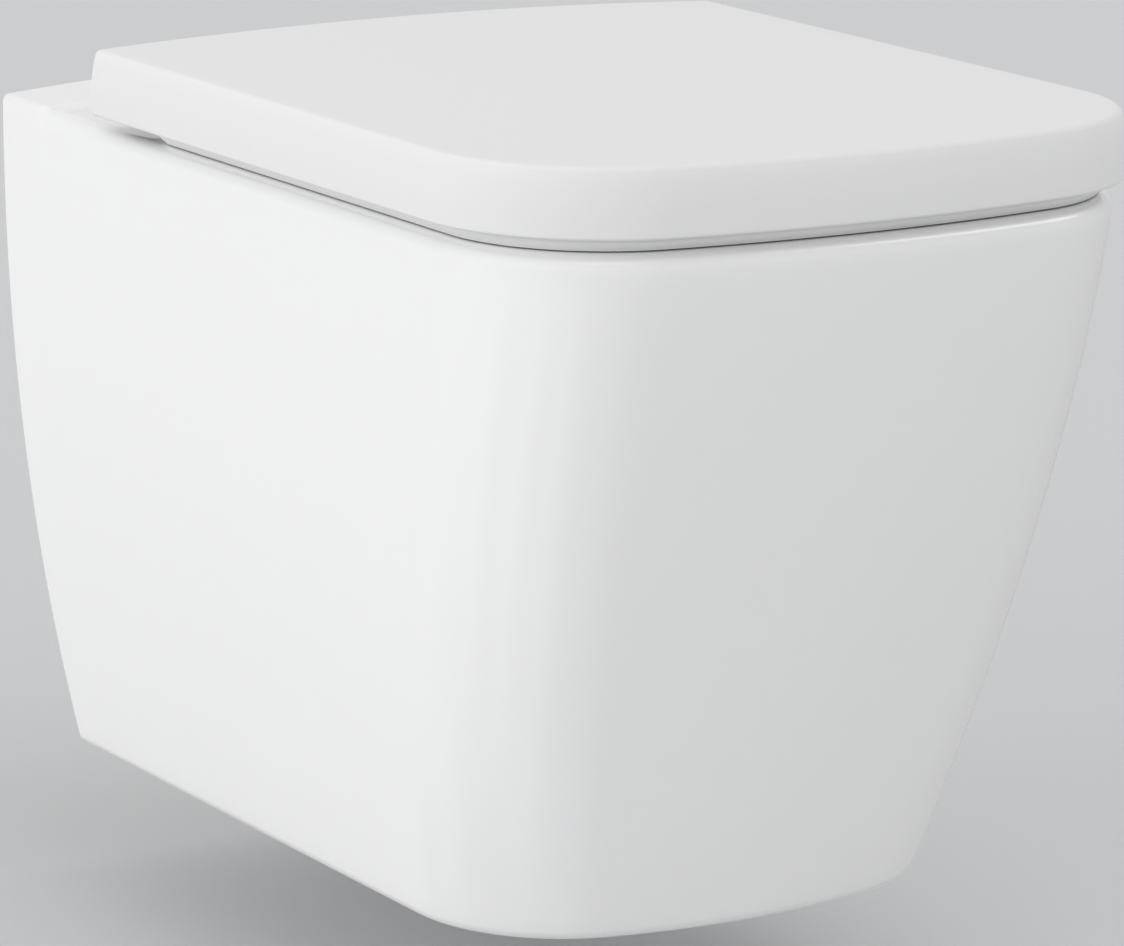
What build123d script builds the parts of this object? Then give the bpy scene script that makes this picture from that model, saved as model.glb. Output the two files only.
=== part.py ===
from build123d import *
import os
from math import atan2, copysign, cos, radians, sin, sqrt, tan

# Wall hung toilet: a rimless ceramic pan on concealed wall fixings, with a soft-close seat and lid.
# Millimetres, +Z up. The wall is the plane y = 0 and the pan reaches out along -Y. The origin is on
# the wall, midway between the two wall bolts.

# Pan, outside
DECK_Z = 80.0  # rear corners of the deck, above the wall bolts
PAN_HEIGHT = 356.0
PAN_HALF_WIDTH = 181.0
PAN_LENGTH = 540.0
BASE_NARROWING = 43.0  # how much less half width the base has than the deck
NARROWING_POWER = 2.13
BASE_RECESS = 98.0  # how far the base stands back from the front of the deck
RECESS_POWER = 1.17
DECK_CORNER_R = 88.3
BASE_CORNER_R = 81.0
DECK_BOW_R = 710.0
BASE_BOW_R = 317.0
RIM_DROP = 1.5  # rim plane below the deck corners
RIM_EDGE_R = 8.0
RIM_BAND = 1.0  # upright band under the rounded rim edge
BASE_EDGE_R = 6.0

# Raised ledge at the back of the deck
DECK_CROWN = 8.0
LEDGE_FRONT = 57.0
LEDGE_CORNER_R = 36.0
LEDGE_SLOPE = 30.0
LEDGE_EDGE_R = 4.0

# Pan, walls
SKIRT_WALL = 13.0
DECK_THICKNESS = 16.0
BACK_PLATE = 18.0
BACK_PLATE_DROP = 50.0  # bottom edge of the back plate, below the wall bolts
SECTION_COUNT = 7
INNER_SECTION_COUNT = 4  # for the faces that nobody sees

# Bowl
RIM_WIDTH = 33.0
BOWL_BACK = 172.0
BOWL_CORNER_R = 110.0
BOWL_BOW_R = 400.0
BOWL_BACK_R = 60.0
BOWL_WALL = 10.0
BOWL_SIDE_POWER = 1.6
BOWL_END_POWER = 1.5
MOUTH_EDGE_R = 6.0
SUMP_JOINT_Z = -110.0  # where the bowl meets its sump
SUMP_Z = -226.0
SUMP_HALF_WIDTH = 38.0
SUMP_FRONT = 312.0
SUMP_BACK = 232.0
SUMP_CORNER_R = 34.0
SUMP_BOW_R = 60.0
SUMP_BACK_R = 30.0
SUMP_FLOOR_R = 22.0

# Trapway and waste spigot
TRAP_R = 27.0
TRAP_WALL = 9.0
TRAP_START = (276.0, -184.0)  # distance from the wall, height
TRAP_DIP = (SUMP_BACK, -212.0)
TRAP_WEIR = (150.0, -78.0)
TRAP_BENDS = (46.0, 48.0, 40.0)
TRAP_LEAD = 10.0  # from the last corner to the cone of the outlet
OUTLET_DROP = 100.0  # outlet axis below the wall bolts
OUTLET_R = 51.0
OUTLET_BORE_R = 42.0
OUTLET_RECESS = 12.0
OUTLET_LENGTH = 50.0
OUTLET_CONE = 30.0
OUTLET_ARCH = 12.0  # room in the back plate for a sleeve over the spigot
WEB_THICKNESS = 16.0
WEB_LENGTH = 24.0

# Flush inlet
INLET_RISE = 35.0  # inlet axis above the wall bolts
INLET_BORE_R = 27.5
INLET_DEPTH = 45.0
INLET_WALL = 9.5
CHANNEL_R = 24.0
CHANNEL_WALL = 8.0
JET_WIDTH = 80.0
JET_HEIGHT = 19.0
JET_LENGTH = 34.0
JET_Z = 50.0

# Wall fixing
BOLT_SPACING = 180.0
BOLT_BORE_R = 6.1
BUSH_BORE_R = 9.2
BUSH_WALL = 0.8
BUSH_FLANGE_R = 14.0
BUSH_FLANGE = 2.0
BARREL_CLEARANCE = 0.2
CLAMP_DISTANCE = 50.0
CLAMP_SIZE = (36.0, 26.0, 26.0)
CLAMP_EDGE_R = 2.0
GRUB_R = 4.0
GRUB_LENGTH = 58.0
GRUB_STANDOFF = 5.0
GRUB_SOCKET_R = 2.6
PAD_R = 8.5
PAD_THICKNESS = 7.0
THREAD_CLEARANCE = 0.05

# Hinge places
HINGE_SPACING = 155.0
FIXING_Y = -129.0
AXIS_Y = -125.0
AXIS_Z = 104.0
FIXING_HOLE_R = 7.0

# Hinge base, its pin and what holds it to the deck
BASE_PLATE = (28.0, 46.0, 4.0)
BASE_PLATE_R = 8.0
PIN_R = 6.0
PIN_HEIGHT = 14.0
GROOVE_R = 4.4
GROOVE_RISE = 5.5
GROOVE_HEIGHT = 2.4
HINGE_SCREW_R = 2.5
SCREW_CLEARANCE = 0.1
SCREW_HEAD_R = 4.1
SCREW_HEAD = 4.0
SCREW_SINK = 5.0
SCREW_SOCKET_R = 2.2
PLUG_CLEARANCE = 0.2
PLUG_LENGTH = 34.0
NUT_CONE = 6.0
NUT_HEIGHT = 10.0
NUT_R = 6.3
NUT_TIP_R = 3.6

# Hinge post with its button and clip
POST_WIDTH = 27.0
POST_FRONT = 16.0
POST_BACK = 5.0
POST_SHOULDER = 3.0
POST_EDGE_R = 1.5
BARREL_R = 9.0
SEAT_GAP = 0.3
PIN_CLEARANCE = 0.1
PIN_HEADROOM = 0.5
BUTTON_SIZE = (12.0, 6.0)
BUTTON_TRAVEL = 2.5
BUTTON_PROUD = 3.0
BUTTON_CLEARANCE = 0.15
CLIP_THICKNESS = 2.0
CLIP_WIRE = 1.5
CLIP_CLEARANCE = 0.3
CLIP_LEG_START = 1.3  # how far the legs reach past the front of the pin
WEDGE_GAP = 1.2  # from the released button to the legs
FLANGE_THICKNESS = 1.0
WEDGE_LENGTH = 1.4

# Hinge shafts, dampers and bushes
SHAFT_R = 3.0
RUNNING_CLEARANCE = 0.05
SHAFT_SEAT = 12.0
DAMPER_R = 6.5
BEARING_R = 5.0
DAMPER_LENGTH = 20.0
DAMPER_END = 2.0
SIDE_GAP = 0.4
ARM_END_WALL = 1.6
HOUSING_CLEARANCE = 0.05

# Lid
LID_OVERHANG = 6.0  # beside the pan
LID_FRONT_OVERHANG = 3.0
LID_HALF_WIDTH = PAN_HALF_WIDTH + LID_OVERHANG
LID_FRONT = PAN_LENGTH + LID_FRONT_OVERHANG
LID_CORNER_R = DECK_CORNER_R + LID_FRONT_OVERHANG
LID_BOW_R = DECK_BOW_R + LID_FRONT_OVERHANG
LID_BACK = 109.0
LID_BOTTOM_Z = 86.0
LID_WIDEST_Z = 96.0
LID_EDGE_Z = 118.6
LID_LEAN = 3.0
LID_CROWN = 5.1
LID_CROWN_POWER = 2.15
LID_WALL = 5.0
LID_TOP_EDGE_R = 5.0
LID_BOTTOM_EDGE_R = 3.0
LID_SLOT_CLEARANCE = 2.0

# Seat
SEAT_MARGIN = 8.5  # seat edge inside the lid edge
SEAT_BACK = 152.0
SEAT_BACK_R = 20.0
SEAT_BOTTOM_Z = 84.0
SEAT_TOP_Z = 107.0
SEAT_DRAFT = 1.0
SEAT_OUTER_EDGE_R = 9.0
SEAT_INNER_EDGE_R = 9.0
SEAT_WALL = 5.5
SEAT_TOP_WALL = 6.0
SEAT_SIDE_WIDTH = 70.5
SEAT_FRONT_WIDTH = 47.5
SEAT_HOLE_HALF_WIDTH = LID_HALF_WIDTH - SEAT_MARGIN - SEAT_SIDE_WIDTH
SEAT_HOLE_FRONT = LID_FRONT - SEAT_MARGIN - SEAT_FRONT_WIDTH
SEAT_HOLE_BACK = 210.0
SEAT_HOLE_STRAIGHT = 12.0  # half of the opening's width that its front corners leave
SEAT_HOLE_CORNER_R = SEAT_HOLE_HALF_WIDTH - SEAT_HOLE_STRAIGHT
SEAT_HOLE_BOW_R = 240.0
SEAT_HOLE_BACK_R = 70.0
ARM_BELOW = 4.0
ARM_ABOVE = 3.0

# Buffers
SEAT_BUFFER_R = 8.0
SEAT_BUFFER_STEM_R = 3.0
SEAT_BUFFER_STEM = 9.0
SEAT_BUFFER_PAD_R = 12.0
SEAT_BUFFER_INSET = 16.5  # inside the seat's outer edge
SEAT_BUFFER_REAR = 83.0  # ahead of the seat's back
SEAT_BUFFER_FRONT = 118.0  # behind the lid's front
BUFFER_CHAMFER = 1.0
LID_BUFFER_R = 7.0
LID_BUFFER_FRONT = (69.0, 88.0)  # inside the lid's side and front
LID_BUFFER_REAR = (47.0, 73.0)  # inside the lid's side and back
BUFFER_GAP = 0.3

# Sizes that follow from the ones above
BASE_Z = DECK_Z - PAN_HEIGHT
RIM_Z = DECK_Z - RIM_DROP
BAND_Z = RIM_Z - RIM_EDGE_R - RIM_BAND
CAVITY_TOP_Z = RIM_Z - DECK_THICKNESS
BOLT_X = BOLT_SPACING / 2
HINGE_X = HINGE_SPACING / 2
OUTLET_Z = -OUTLET_DROP
HOOK = (Align.CENTER, Align.CENTER, Align.MIN)


def block(x_range, y_range, z_range):
    """Box between two coordinates along each axis."""
    spans = (x_range, y_range, z_range)
    size = [abs(high - low) for low, high in spans]
    middle = [(low + high) / 2 for low, high in spans]
    return Pos(*middle) * Box(*size)


def bar(start, end, radius, end_radius=None):
    """Round bar from start to end, or a cone where end_radius is given."""
    run = Vector(*end) - Vector(*start)
    if end_radius is None:
        solid = Cylinder(radius, run.length, align=HOOK)
    else:
        solid = Cone(radius, end_radius, run.length, align=HOOK)
    return Plane(origin=start, z_dir=run) * solid


def mix(first, last, share):
    """Value that lies the given share of the way from first to last."""
    return first + (last - first) * share


def spread(first, last, count):
    """Evenly spaced values from first to last."""
    return [mix(first, last, step / (count - 1)) for step in range(count)]


def d_face(z, half_width, front, corner_r, bow_r, back=0.0, back_r=0.0):
    """Flat D outline at height z: bowed front, round front corners, straight sides and a flat back."""
    side_x = half_width - corner_r
    bow_y = bow_r - front
    corner_y = bow_y - sqrt((bow_r - corner_r) ** 2 - side_x**2)
    turn = atan2(corner_y - bow_y, side_x)
    middle = (side_x + corner_r * cos(turn / 2), corner_y + corner_r * sin(turn / 2))
    meet = (bow_r * cos(turn), bow_y + bow_r * sin(turn))
    side_top = (half_width, -back - back_r)
    back_end = (half_width - back_r, -back)
    bulge = back_r * (1 - sqrt(0.5))
    back_middle = (half_width - bulge, -back - bulge)

    def across(point):
        return (-point[0], point[1])

    with BuildSketch(Plane.XY.offset(z)) as sketch:
        with BuildLine():
            Line(side_top, (half_width, corner_y))
            ThreePointArc((half_width, corner_y), middle, meet)
            ThreePointArc(meet, (0, -front), across(meet))
            ThreePointArc(across(meet), across(middle), (-half_width, corner_y))
            Line((-half_width, corner_y), across(side_top))
            if back_r > 0:
                ThreePointArc(across(side_top), across(back_middle), across(back_end))
            Line(across(back_end), back_end)
            if back_r > 0:
                ThreePointArc(back_end, back_middle, side_top)
        make_face()
    return sketch.sketch.face()


def pan_face(z, inset=0.0, back=0.0):
    """Outline of the pan at height z, or one inside it by the inset."""
    drop = (DECK_Z - z) / PAN_HEIGHT
    narrowing = copysign(BASE_NARROWING * abs(drop) ** NARROWING_POWER, drop)
    recess = copysign(BASE_RECESS * abs(drop) ** RECESS_POWER, drop)
    return d_face(
        z,
        PAN_HALF_WIDTH - narrowing - inset,
        PAN_LENGTH - recess - inset,
        mix(DECK_CORNER_R, BASE_CORNER_R, drop) - inset,
        mix(DECK_BOW_R, BASE_BOW_R, drop) - inset,
        back,
    )


def bowl_face(z, wall=0.0):
    """Outline of the bowl's inside at height z, or of its outside where a wall is given."""
    depth = max(RIM_Z - z, 0) / (RIM_Z - SUMP_Z)
    side = depth**BOWL_SIDE_POWER
    end = depth**BOWL_END_POWER
    return d_face(
        z,
        mix(PAN_HALF_WIDTH - RIM_WIDTH, SUMP_HALF_WIDTH, side) + wall,
        mix(PAN_LENGTH - RIM_WIDTH, SUMP_FRONT, end) + wall,
        mix(BOWL_CORNER_R, SUMP_CORNER_R, side) + wall,
        mix(BOWL_BOW_R, SUMP_BOW_R, side) + wall,
        mix(BOWL_BACK, SUMP_BACK, end) - wall,
        mix(BOWL_BACK_R, SUMP_BACK_R, side) + wall,
    )


def lid_face(z, inset=0.0):
    """Outline of the lid at height z: upright at its lower edge and leaning in above that."""
    lean = LID_LEAN * (max(z - LID_WIDEST_Z, 0) / (LID_EDGE_Z - LID_WIDEST_Z)) ** 2
    inset += lean
    return d_face(
        z,
        LID_HALF_WIDTH - inset,
        LID_FRONT - inset,
        LID_CORNER_R - inset,
        LID_BOW_R - inset,
        LID_BACK + inset - lean,
    )


def not_at_wall(edge):
    return edge.center().Y < -1


def pan_outside():
    """Outer form of the pan: the skirt up to the rim plane, and the crowned ledge behind it."""
    top_z = DECK_Z + DECK_CROWN + RIM_DROP
    tall = loft([pan_face(z) for z in spread(BASE_Z, BAND_Z, SECTION_COUNT)], ruled=True)
    tall += extrude(pan_face(BAND_Z), top_z - BAND_Z)
    reach = 2 * PAN_LENGTH
    skirt = tall - block((-reach, reach), (-reach, reach), (RIM_Z, top_z + 1))
    rim_edges = skirt.faces().sort_by(Axis.Z)[-1].edges().filter_by(not_at_wall)
    skirt = fillet(rim_edges, RIM_EDGE_R)
    base_edges = skirt.faces().sort_by(Axis.Z)[0].edges().filter_by(not_at_wall)
    skirt = fillet(base_edges, BASE_EDGE_R)

    crown_r = (PAN_HALF_WIDTH**2 + DECK_CROWN**2) / (2 * DECK_CROWN)
    crown_z = DECK_Z + DECK_CROWN - crown_r
    crown = bar((0, 1, crown_z), (0, -2 * LEDGE_FRONT, crown_z), crown_r)
    ledge = tall & crown
    ledge -= block((-reach, reach), (-reach, reach), (BASE_Z - 1, BAND_Z))
    side_edges = [edge for edge in ledge.edges() if abs(edge.center().X) > PAN_HALF_WIDTH - 1
                  and edge.center().Z > DECK_Z - 1]
    ledge = fillet(side_edges, LEDGE_EDGE_R)
    slope = tan(radians(LEDGE_SLOPE))
    flare = (RIM_Z - BAND_Z) * slope
    plan = Pos(0, 0, BAND_Z) * RectangleRounded(
        2 * (PAN_HALF_WIDTH + BASE_EDGE_R + flare), 2 * (LEDGE_FRONT + flare), LEDGE_CORNER_R + flare)
    ledge &= extrude(plan, top_z + 1 - BAND_Z, taper=LEDGE_SLOPE)
    return skirt + ledge


def pan_hollow():
    """Space behind the skirt, between its floor and the deck, that holds the bowl and the water ways."""
    levels = spread(BASE_Z + SKIRT_WALL, CAVITY_TOP_Z, INNER_SECTION_COUNT)
    return loft([pan_face(z, SKIRT_WALL, back=-1.0) for z in levels], ruled=True)


def bowl(wall=0.0):
    """Solid that fills the bowl, or its outside where a wall is given."""
    levels = spread(SUMP_Z - wall, CAVITY_TOP_Z, INNER_SECTION_COUNT if wall else SECTION_COUNT)
    faces = [bowl_face(max(z, SUMP_Z), wall).moved(Pos(0, 0, min(z - SUMP_Z, 0))) for z in levels]
    solid = loft(faces, ruled=True)
    floor_edges = solid.faces().sort_by(Axis.Z)[0].edges()
    solid = fillet(floor_edges, SUMP_FLOOR_R + wall)
    if not wall:
        solid += extrude(bowl_face(CAVITY_TOP_Z), DECK_THICKNESS)
    return solid


def trap_path():
    """Centre line of the trapway: down out of the sump, over the weir and back to the outlet."""
    stops = (TRAP_START, TRAP_DIP, TRAP_WEIR)
    points = [(0, -distance, z) for distance, z in stops]
    cone_y = -(OUTLET_RECESS + OUTLET_LENGTH + OUTLET_CONE)
    points += [(0, cone_y - TRAP_LEAD, OUTLET_Z), (0, cone_y, OUTLET_Z)]
    return FilletPolyline(*points, radius=list(TRAP_BENDS))


def tube(path, radius):
    """Round solid along a path of straight runs and arcs."""
    solid = None
    for edge in path.edges():
        if edge.geom_type == GeomType.LINE:
            piece = bar(edge @ 0, edge @ 1, radius)
        else:
            piece = sweep(Plane(origin=edge @ 0, z_dir=edge % 0) * Circle(radius), path=edge)
        solid = piece if solid is None else solid + piece
    return solid


def flush_channel(wall=0.0):
    """Water way from the inlet to the slot at the back of the bowl, or its outside."""
    start_y = -INLET_DEPTH + wall
    end_y = -(BOWL_BACK + BOWL_WALL) + wall
    slot_y = -BOWL_BACK + JET_LENGTH
    channel = bar((0, start_y, INLET_RISE), (0, slot_y - wall, INLET_RISE), CHANNEL_R + wall)
    back_y = slot_y + CHANNEL_R + wall
    back = Plane(origin=(0, back_y, JET_Z), x_dir=(1, 0, 0), z_dir=(0, -1, 0))
    slot = extrude(back * SlotOverall(JET_WIDTH + 2 * wall, JET_HEIGHT + 2 * wall), back_y - end_y)
    return channel + slot


def inlet_boss():
    """Block round the inlet bore: it reaches from the wall to the flush channel and up into the deck."""
    half = INLET_BORE_R + INLET_WALL
    boss = block((-half, half), (-(INLET_DEPTH + CHANNEL_WALL), 0), (INLET_RISE - half, INLET_RISE + half))
    return fillet(boss.edges().filter_by(Axis.Y).group_by(Axis.Z)[0], half / 2)


def above_cavity():
    """Everything over the underside of the deck."""
    reach = 2 * PAN_LENGTH
    return block((-reach, reach), (-reach, reach), (CAVITY_TOP_Z, reach))


def ceramic_skirt():
    """Sides, front and base of the casting, open at the wall."""
    return pan_outside() - above_cavity() - pan_hollow()


def ceramic_deck():
    """Top of the casting: rim and ledge, with the mouth of the bowl and the two holes for the seat."""
    deck = (pan_outside() & above_cavity()) - inlet_boss()
    deck -= Pos(0, 0, -1) * extrude(bowl_face(CAVITY_TOP_Z), 2 * DECK_THICKNESS)
    for hinge in (-HINGE_X, HINGE_X):
        deck -= bar((hinge, FIXING_Y, CAVITY_TOP_Z - 1), (hinge, FIXING_Y, RIM_Z + 1), FIXING_HOLE_R)
    mouth = [edge for edge in deck.edges() if abs(edge.center().Z - RIM_Z) < 0.01
             and -PAN_LENGTH + RIM_WIDTH - 1 < edge.center().Y < -BOWL_BACK + 1
             and abs(edge.center().X) < PAN_HALF_WIDTH - RIM_WIDTH + 1]
    return fillet(mouth, MOUTH_EDGE_R)


def ceramic_back_plate():
    """Part of the casting that stands against the wall and carries the pan on its two bolts."""
    reach = 2 * PAN_LENGTH
    plate = pan_hollow() & block((-reach, reach), (-BACK_PLATE, 0), (-BACK_PLATE_DROP, CAVITY_TOP_Z))
    plate -= bar((0, 1, OUTLET_Z), (0, -BACK_PLATE - 1, OUTLET_Z), OUTLET_R + OUTLET_ARCH)
    plate -= inlet_boss()
    for bolt in (-BOLT_X, BOLT_X):
        plate -= bar((bolt, 1, 0), (bolt, -BACK_PLATE - 1, 0), BUSH_BORE_R + BUSH_WALL + BARREL_CLEARANCE)
    return plate


def bowl_casting():
    """Bowl under the deck, with the mouths of the flush way and of the trap."""
    return bowl(BOWL_WALL) - bowl() - tube(trap_path(), TRAP_R) - flush_channel()


def above_sump():
    """Everything over the joint between the sump and the upper bowl."""
    reach = 2 * PAN_LENGTH
    return block((-reach, reach), (-reach, reach), (SUMP_JOINT_Z, reach))


def ceramic_bowl():
    """Upper bowl of the casting."""
    return bowl_casting() & above_sump()


def ceramic_sump():
    """Lowest part of the bowl, which holds the water."""
    return bowl_casting() - above_sump()


def flush_way_outside():
    """Outside of the flush way, under the deck and behind the bowl."""
    return flush_channel(CHANNEL_WALL) - above_cavity() + inlet_boss() - bowl(BOWL_WALL)


def ceramic_flush_way():
    """Part of the casting that leads the flush water from the inlet to the back of the bowl."""
    way = flush_way_outside() - flush_channel()
    return way - bar((0, 1, INLET_RISE), (0, -INLET_DEPTH, INLET_RISE), INLET_BORE_R)


def ceramic_trapway():
    """Part of the casting that holds the water seal, from the sump over the weir to the outlet spigot."""
    path = trap_path()
    spigot_back = -OUTLET_RECESS
    spigot_front = -(OUTLET_RECESS + OUTLET_LENGTH)
    cone_front = spigot_front - OUTLET_CONE
    axis = [(0, y, OUTLET_Z) for y in (cone_front, spigot_front, spigot_back)]
    trap = tube(path, TRAP_R + TRAP_WALL)
    trap += bar(axis[0], axis[1], TRAP_R + TRAP_WALL, OUTLET_R)
    trap += bar(axis[1], axis[2], OUTLET_R)
    trap += block((-WEB_THICKNESS / 2, WEB_THICKNESS / 2), (spigot_front - WEB_LENGTH, spigot_front),
                  (OUTLET_Z + TRAP_R, INLET_RISE - CHANNEL_R))
    trap -= bowl(BOWL_WALL)
    trap -= flush_way_outside()
    trap -= tube(path, TRAP_R)
    trap -= bar(axis[0], axis[1], TRAP_R, OUTLET_BORE_R)
    return trap - bar(axis[1], (0, 1, OUTLET_Z), OUTLET_BORE_R)


def both_sides(make):
    """The same piece on the right and on the left, as a group of separate solids."""
    piece = make()
    return Compound(children=[piece, mirror(piece, about=Plane.YZ)])


def wall_bush():
    """Plastic sleeve that lines the right bolt hole, with a flange inside the back plate."""
    outer_r = BUSH_BORE_R + BUSH_WALL
    inside = -BACK_PLATE - BUSH_FLANGE
    bush = bar((BOLT_X, 0, 0), (BOLT_X, -BACK_PLATE, 0), outer_r)
    bush += bar((BOLT_X, -BACK_PLATE, 0), (BOLT_X, inside, 0), BUSH_FLANGE_R)
    return (bush - bar((BOLT_X, 1, 0), (BOLT_X, inside - 1, 0), BUSH_BORE_R)).solid()


def grub_line():
    """Start and end of the right clamp screw: from the fixing hole towards the back plate, at 45 degrees."""
    fall = FIXING_Y + RIM_Z
    end_y = -BACK_PLATE - GRUB_STANDOFF
    end = Vector(HINGE_X, end_y, fall - end_y)
    start = end + Vector(0, -1, 1).normalized() * GRUB_LENGTH
    return start, end


def clamp_block():
    """Steel block that slides over the right wall bolt and draws the pan to the wall."""
    width, depth, height = CLAMP_SIZE
    middle_x = BOLT_X - (width / 2 - height / 2)
    body = Pos(middle_x, -CLAMP_DISTANCE, 0) * Box(width, depth, height)
    body = fillet(body.edges().filter_by(Axis.Y), CLAMP_EDGE_R)
    barrel_r = BUSH_BORE_R - BARREL_CLEARANCE
    body += bar((BOLT_X, -CLAMP_DISTANCE, 0), (BOLT_X, 0, 0), barrel_r)
    body -= bar((BOLT_X, 1, 0), (BOLT_X, -CLAMP_DISTANCE - depth, 0), BOLT_BORE_R)
    start, end = grub_line()
    body -= bar(start, end, GRUB_R + THREAD_CLEARANCE)
    return body.solid()


def clamp_screw():
    """Right clamp screw, a grub screw with a hexagon socket that faces the fixing hole."""
    start, end = grub_line()
    screw = bar(start, end, GRUB_R)
    socket = RegularPolygon(GRUB_SOCKET_R, 6)
    return (screw - Plane(origin=start, z_dir=end - start) * extrude(socket, 2 * GRUB_SOCKET_R)).solid()


def clamp_pad():
    """Plastic pad on the back plate, which takes the point of the right clamp screw."""
    start, end = grub_line()
    centre_z = FIXING_Y + RIM_Z + BACK_PLATE
    pad = bar((HINGE_X, -BACK_PLATE, centre_z), (HINGE_X, -BACK_PLATE - PAD_THICKNESS, centre_z), PAD_R)
    return (pad - bar(start, end, GRUB_R + THREAD_CLEARANCE)).solid()


def hinge_base():
    """Right fixing plate on the deck, with the upright pin that the hinge post drops over."""
    width, depth, height = BASE_PLATE
    foot_z = RIM_Z
    pin_z = foot_z + height
    top_z = pin_z + PIN_HEIGHT
    plate = extrude(Pos(0, 0, foot_z) * RectangleRounded(width, depth, BASE_PLATE_R), height)
    plate = chamfer(plate.faces().sort_by(Axis.Z)[-1].edges(), POST_EDGE_R)
    pin = Pos(0, 0, pin_z) * Cylinder(PIN_R, PIN_HEIGHT, align=HOOK)
    pin = chamfer(pin.edges().sort_by(Axis.Z)[-1], POST_EDGE_R / 2)
    groove = Pos(0, 0, pin_z + GROOVE_RISE) * Cylinder(PIN_R + 1, GROOVE_HEIGHT, align=HOOK)
    groove -= Pos(0, 0, pin_z) * Cylinder(GROOVE_R, PIN_HEIGHT, align=HOOK)
    base = plate + pin - groove
    shank_r = HINGE_SCREW_R + SCREW_CLEARANCE
    head_r = SCREW_HEAD_R + SCREW_CLEARANCE
    base -= Pos(0, 0, foot_z - 1) * Cylinder(shank_r, PIN_HEIGHT + height, align=HOOK)
    base -= Pos(0, 0, top_z - SCREW_SINK) * Cylinder(head_r, SCREW_SINK + 1, align=HOOK)
    return (Pos(HINGE_X, FIXING_Y, 0) * base).solid()


def plug_end():
    """Height of the lower end of the expansion plug."""
    return RIM_Z - PLUG_LENGTH


def hinge_screw():
    """Right hinge screw, from the top of the pin down to the plug nut under the deck."""
    seat_z = RIM_Z + BASE_PLATE[2] + PIN_HEIGHT - SCREW_SINK
    end_z = plug_end() - (NUT_HEIGHT - NUT_CONE) - 2
    screw = Pos(0, 0, end_z) * Cylinder(HINGE_SCREW_R, seat_z - end_z, align=HOOK)
    head = Pos(0, 0, seat_z) * Cylinder(SCREW_HEAD_R, SCREW_HEAD, align=HOOK)
    head = chamfer(head.edges().sort_by(Axis.Z)[-1], SCREW_HEAD / 8)
    socket = Pos(0, 0, seat_z + SCREW_HEAD / 2) * extrude(RegularPolygon(SCREW_SOCKET_R, 6), SCREW_HEAD)
    return (Pos(HINGE_X, FIXING_Y, 0) * (screw + head - socket)).solid()


def nut_cone():
    """Cone of the right plug nut, which spreads the lower end of the plug."""
    return Pos(HINGE_X, FIXING_Y, plug_end()) * Cone(NUT_R, NUT_TIP_R, NUT_CONE, align=HOOK)


def expansion_plug():
    """Right rubber plug in the deck, spread by the nut below it."""
    plug = Cylinder(FIXING_HOLE_R - PLUG_CLEARANCE, PLUG_LENGTH, align=HOOK)
    plug -= Cylinder(HINGE_SCREW_R + SCREW_CLEARANCE, PLUG_LENGTH, align=HOOK)
    return (Pos(HINGE_X, FIXING_Y, plug_end()) * plug - nut_cone()).solid()


def plug_nut():
    """Right plug nut: a hexagon with a cone above it."""
    height = NUT_HEIGHT - NUT_CONE
    foot = Pos(HINGE_X, FIXING_Y, plug_end() - height)
    nut = foot * extrude(RegularPolygon(NUT_R, 6, major_radius=False), height) + nut_cone()
    return (nut - foot * Cylinder(HINGE_SCREW_R, NUT_HEIGHT, align=HOOK)).solid()


def groove_middle():
    """Height of the middle of the pin's groove, where the clip and the button work."""
    return RIM_Z + BASE_PLATE[2] + GROOVE_RISE + GROOVE_HEIGHT / 2


def hinge_post():
    """Right hinge post: a stem over the pin, and a barrel round the hinge axis on top."""
    foot_z = RIM_Z + BASE_PLATE[2] + SEAT_GAP
    shoulder_z = AXIS_Z - POST_SHOULDER
    x_range = (HINGE_X - POST_WIDTH / 2, HINGE_X + POST_WIDTH / 2)
    front, back = AXIS_Y - POST_FRONT, AXIS_Y + POST_BACK
    post = block(x_range, (front, back), (foot_z, shoulder_z))
    front_top = post.edges().filter_by(Axis.X).group_by(Axis.Z)[-1].sort_by(Axis.Y)[0]
    post = fillet(front_top, 2 * POST_SHOULDER)
    post = fillet(post.edges().filter_by(Axis.Z), POST_EDGE_R)
    post += bar((x_range[0], AXIS_Y, AXIS_Z), (x_range[1], AXIS_Y, AXIS_Z), BARREL_R)

    bore_length = PIN_HEIGHT + PIN_HEADROOM - SEAT_GAP
    bore = Cylinder(PIN_R + PIN_CLEARANCE, bore_length + 1, align=HOOK)
    post -= Pos(HINGE_X, FIXING_Y, foot_z - 1) * bore
    middle = groove_middle()
    half_clip = CLIP_THICKNESS / 2 + CLIP_CLEARANCE
    cavity_x = PIN_R + CLIP_WIRE
    flange_front = FIXING_Y + button_back() - FLANGE_THICKNESS
    cavity_y = (flange_front - BUTTON_CLEARANCE, FIXING_Y + clip_back() + 2 * CLIP_CLEARANCE)
    post -= block((HINGE_X - cavity_x, HINGE_X + cavity_x), cavity_y,
                  (middle - half_clip, middle + half_clip))
    half_x = BUTTON_SIZE[0] / 2 + BUTTON_CLEARANCE
    half_z = BUTTON_SIZE[1] / 2 + BUTTON_CLEARANCE
    pocket_y = (front - 1, flange_front + BUTTON_TRAVEL + BUTTON_CLEARANCE)
    post -= block((HINGE_X - half_x, HINGE_X + half_x), pocket_y, (middle - half_z, middle + half_z))
    for outward in (False, True):
        post -= on_axis(1, outward, 1, -SHAFT_SEAT, SHAFT_R + RUNNING_CLEARANCE)
    return post.solid()


def clip_front():
    """Front ends of the clip's legs, measured from the pin."""
    return -PIN_R - CLIP_LEG_START


def clip_back():
    """Back of the clip, measured from the pin."""
    return PIN_R + CLIP_CLEARANCE


def button_back():
    """Back face of the released button's flange, measured from the pin."""
    return clip_front() - WEDGE_GAP


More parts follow.
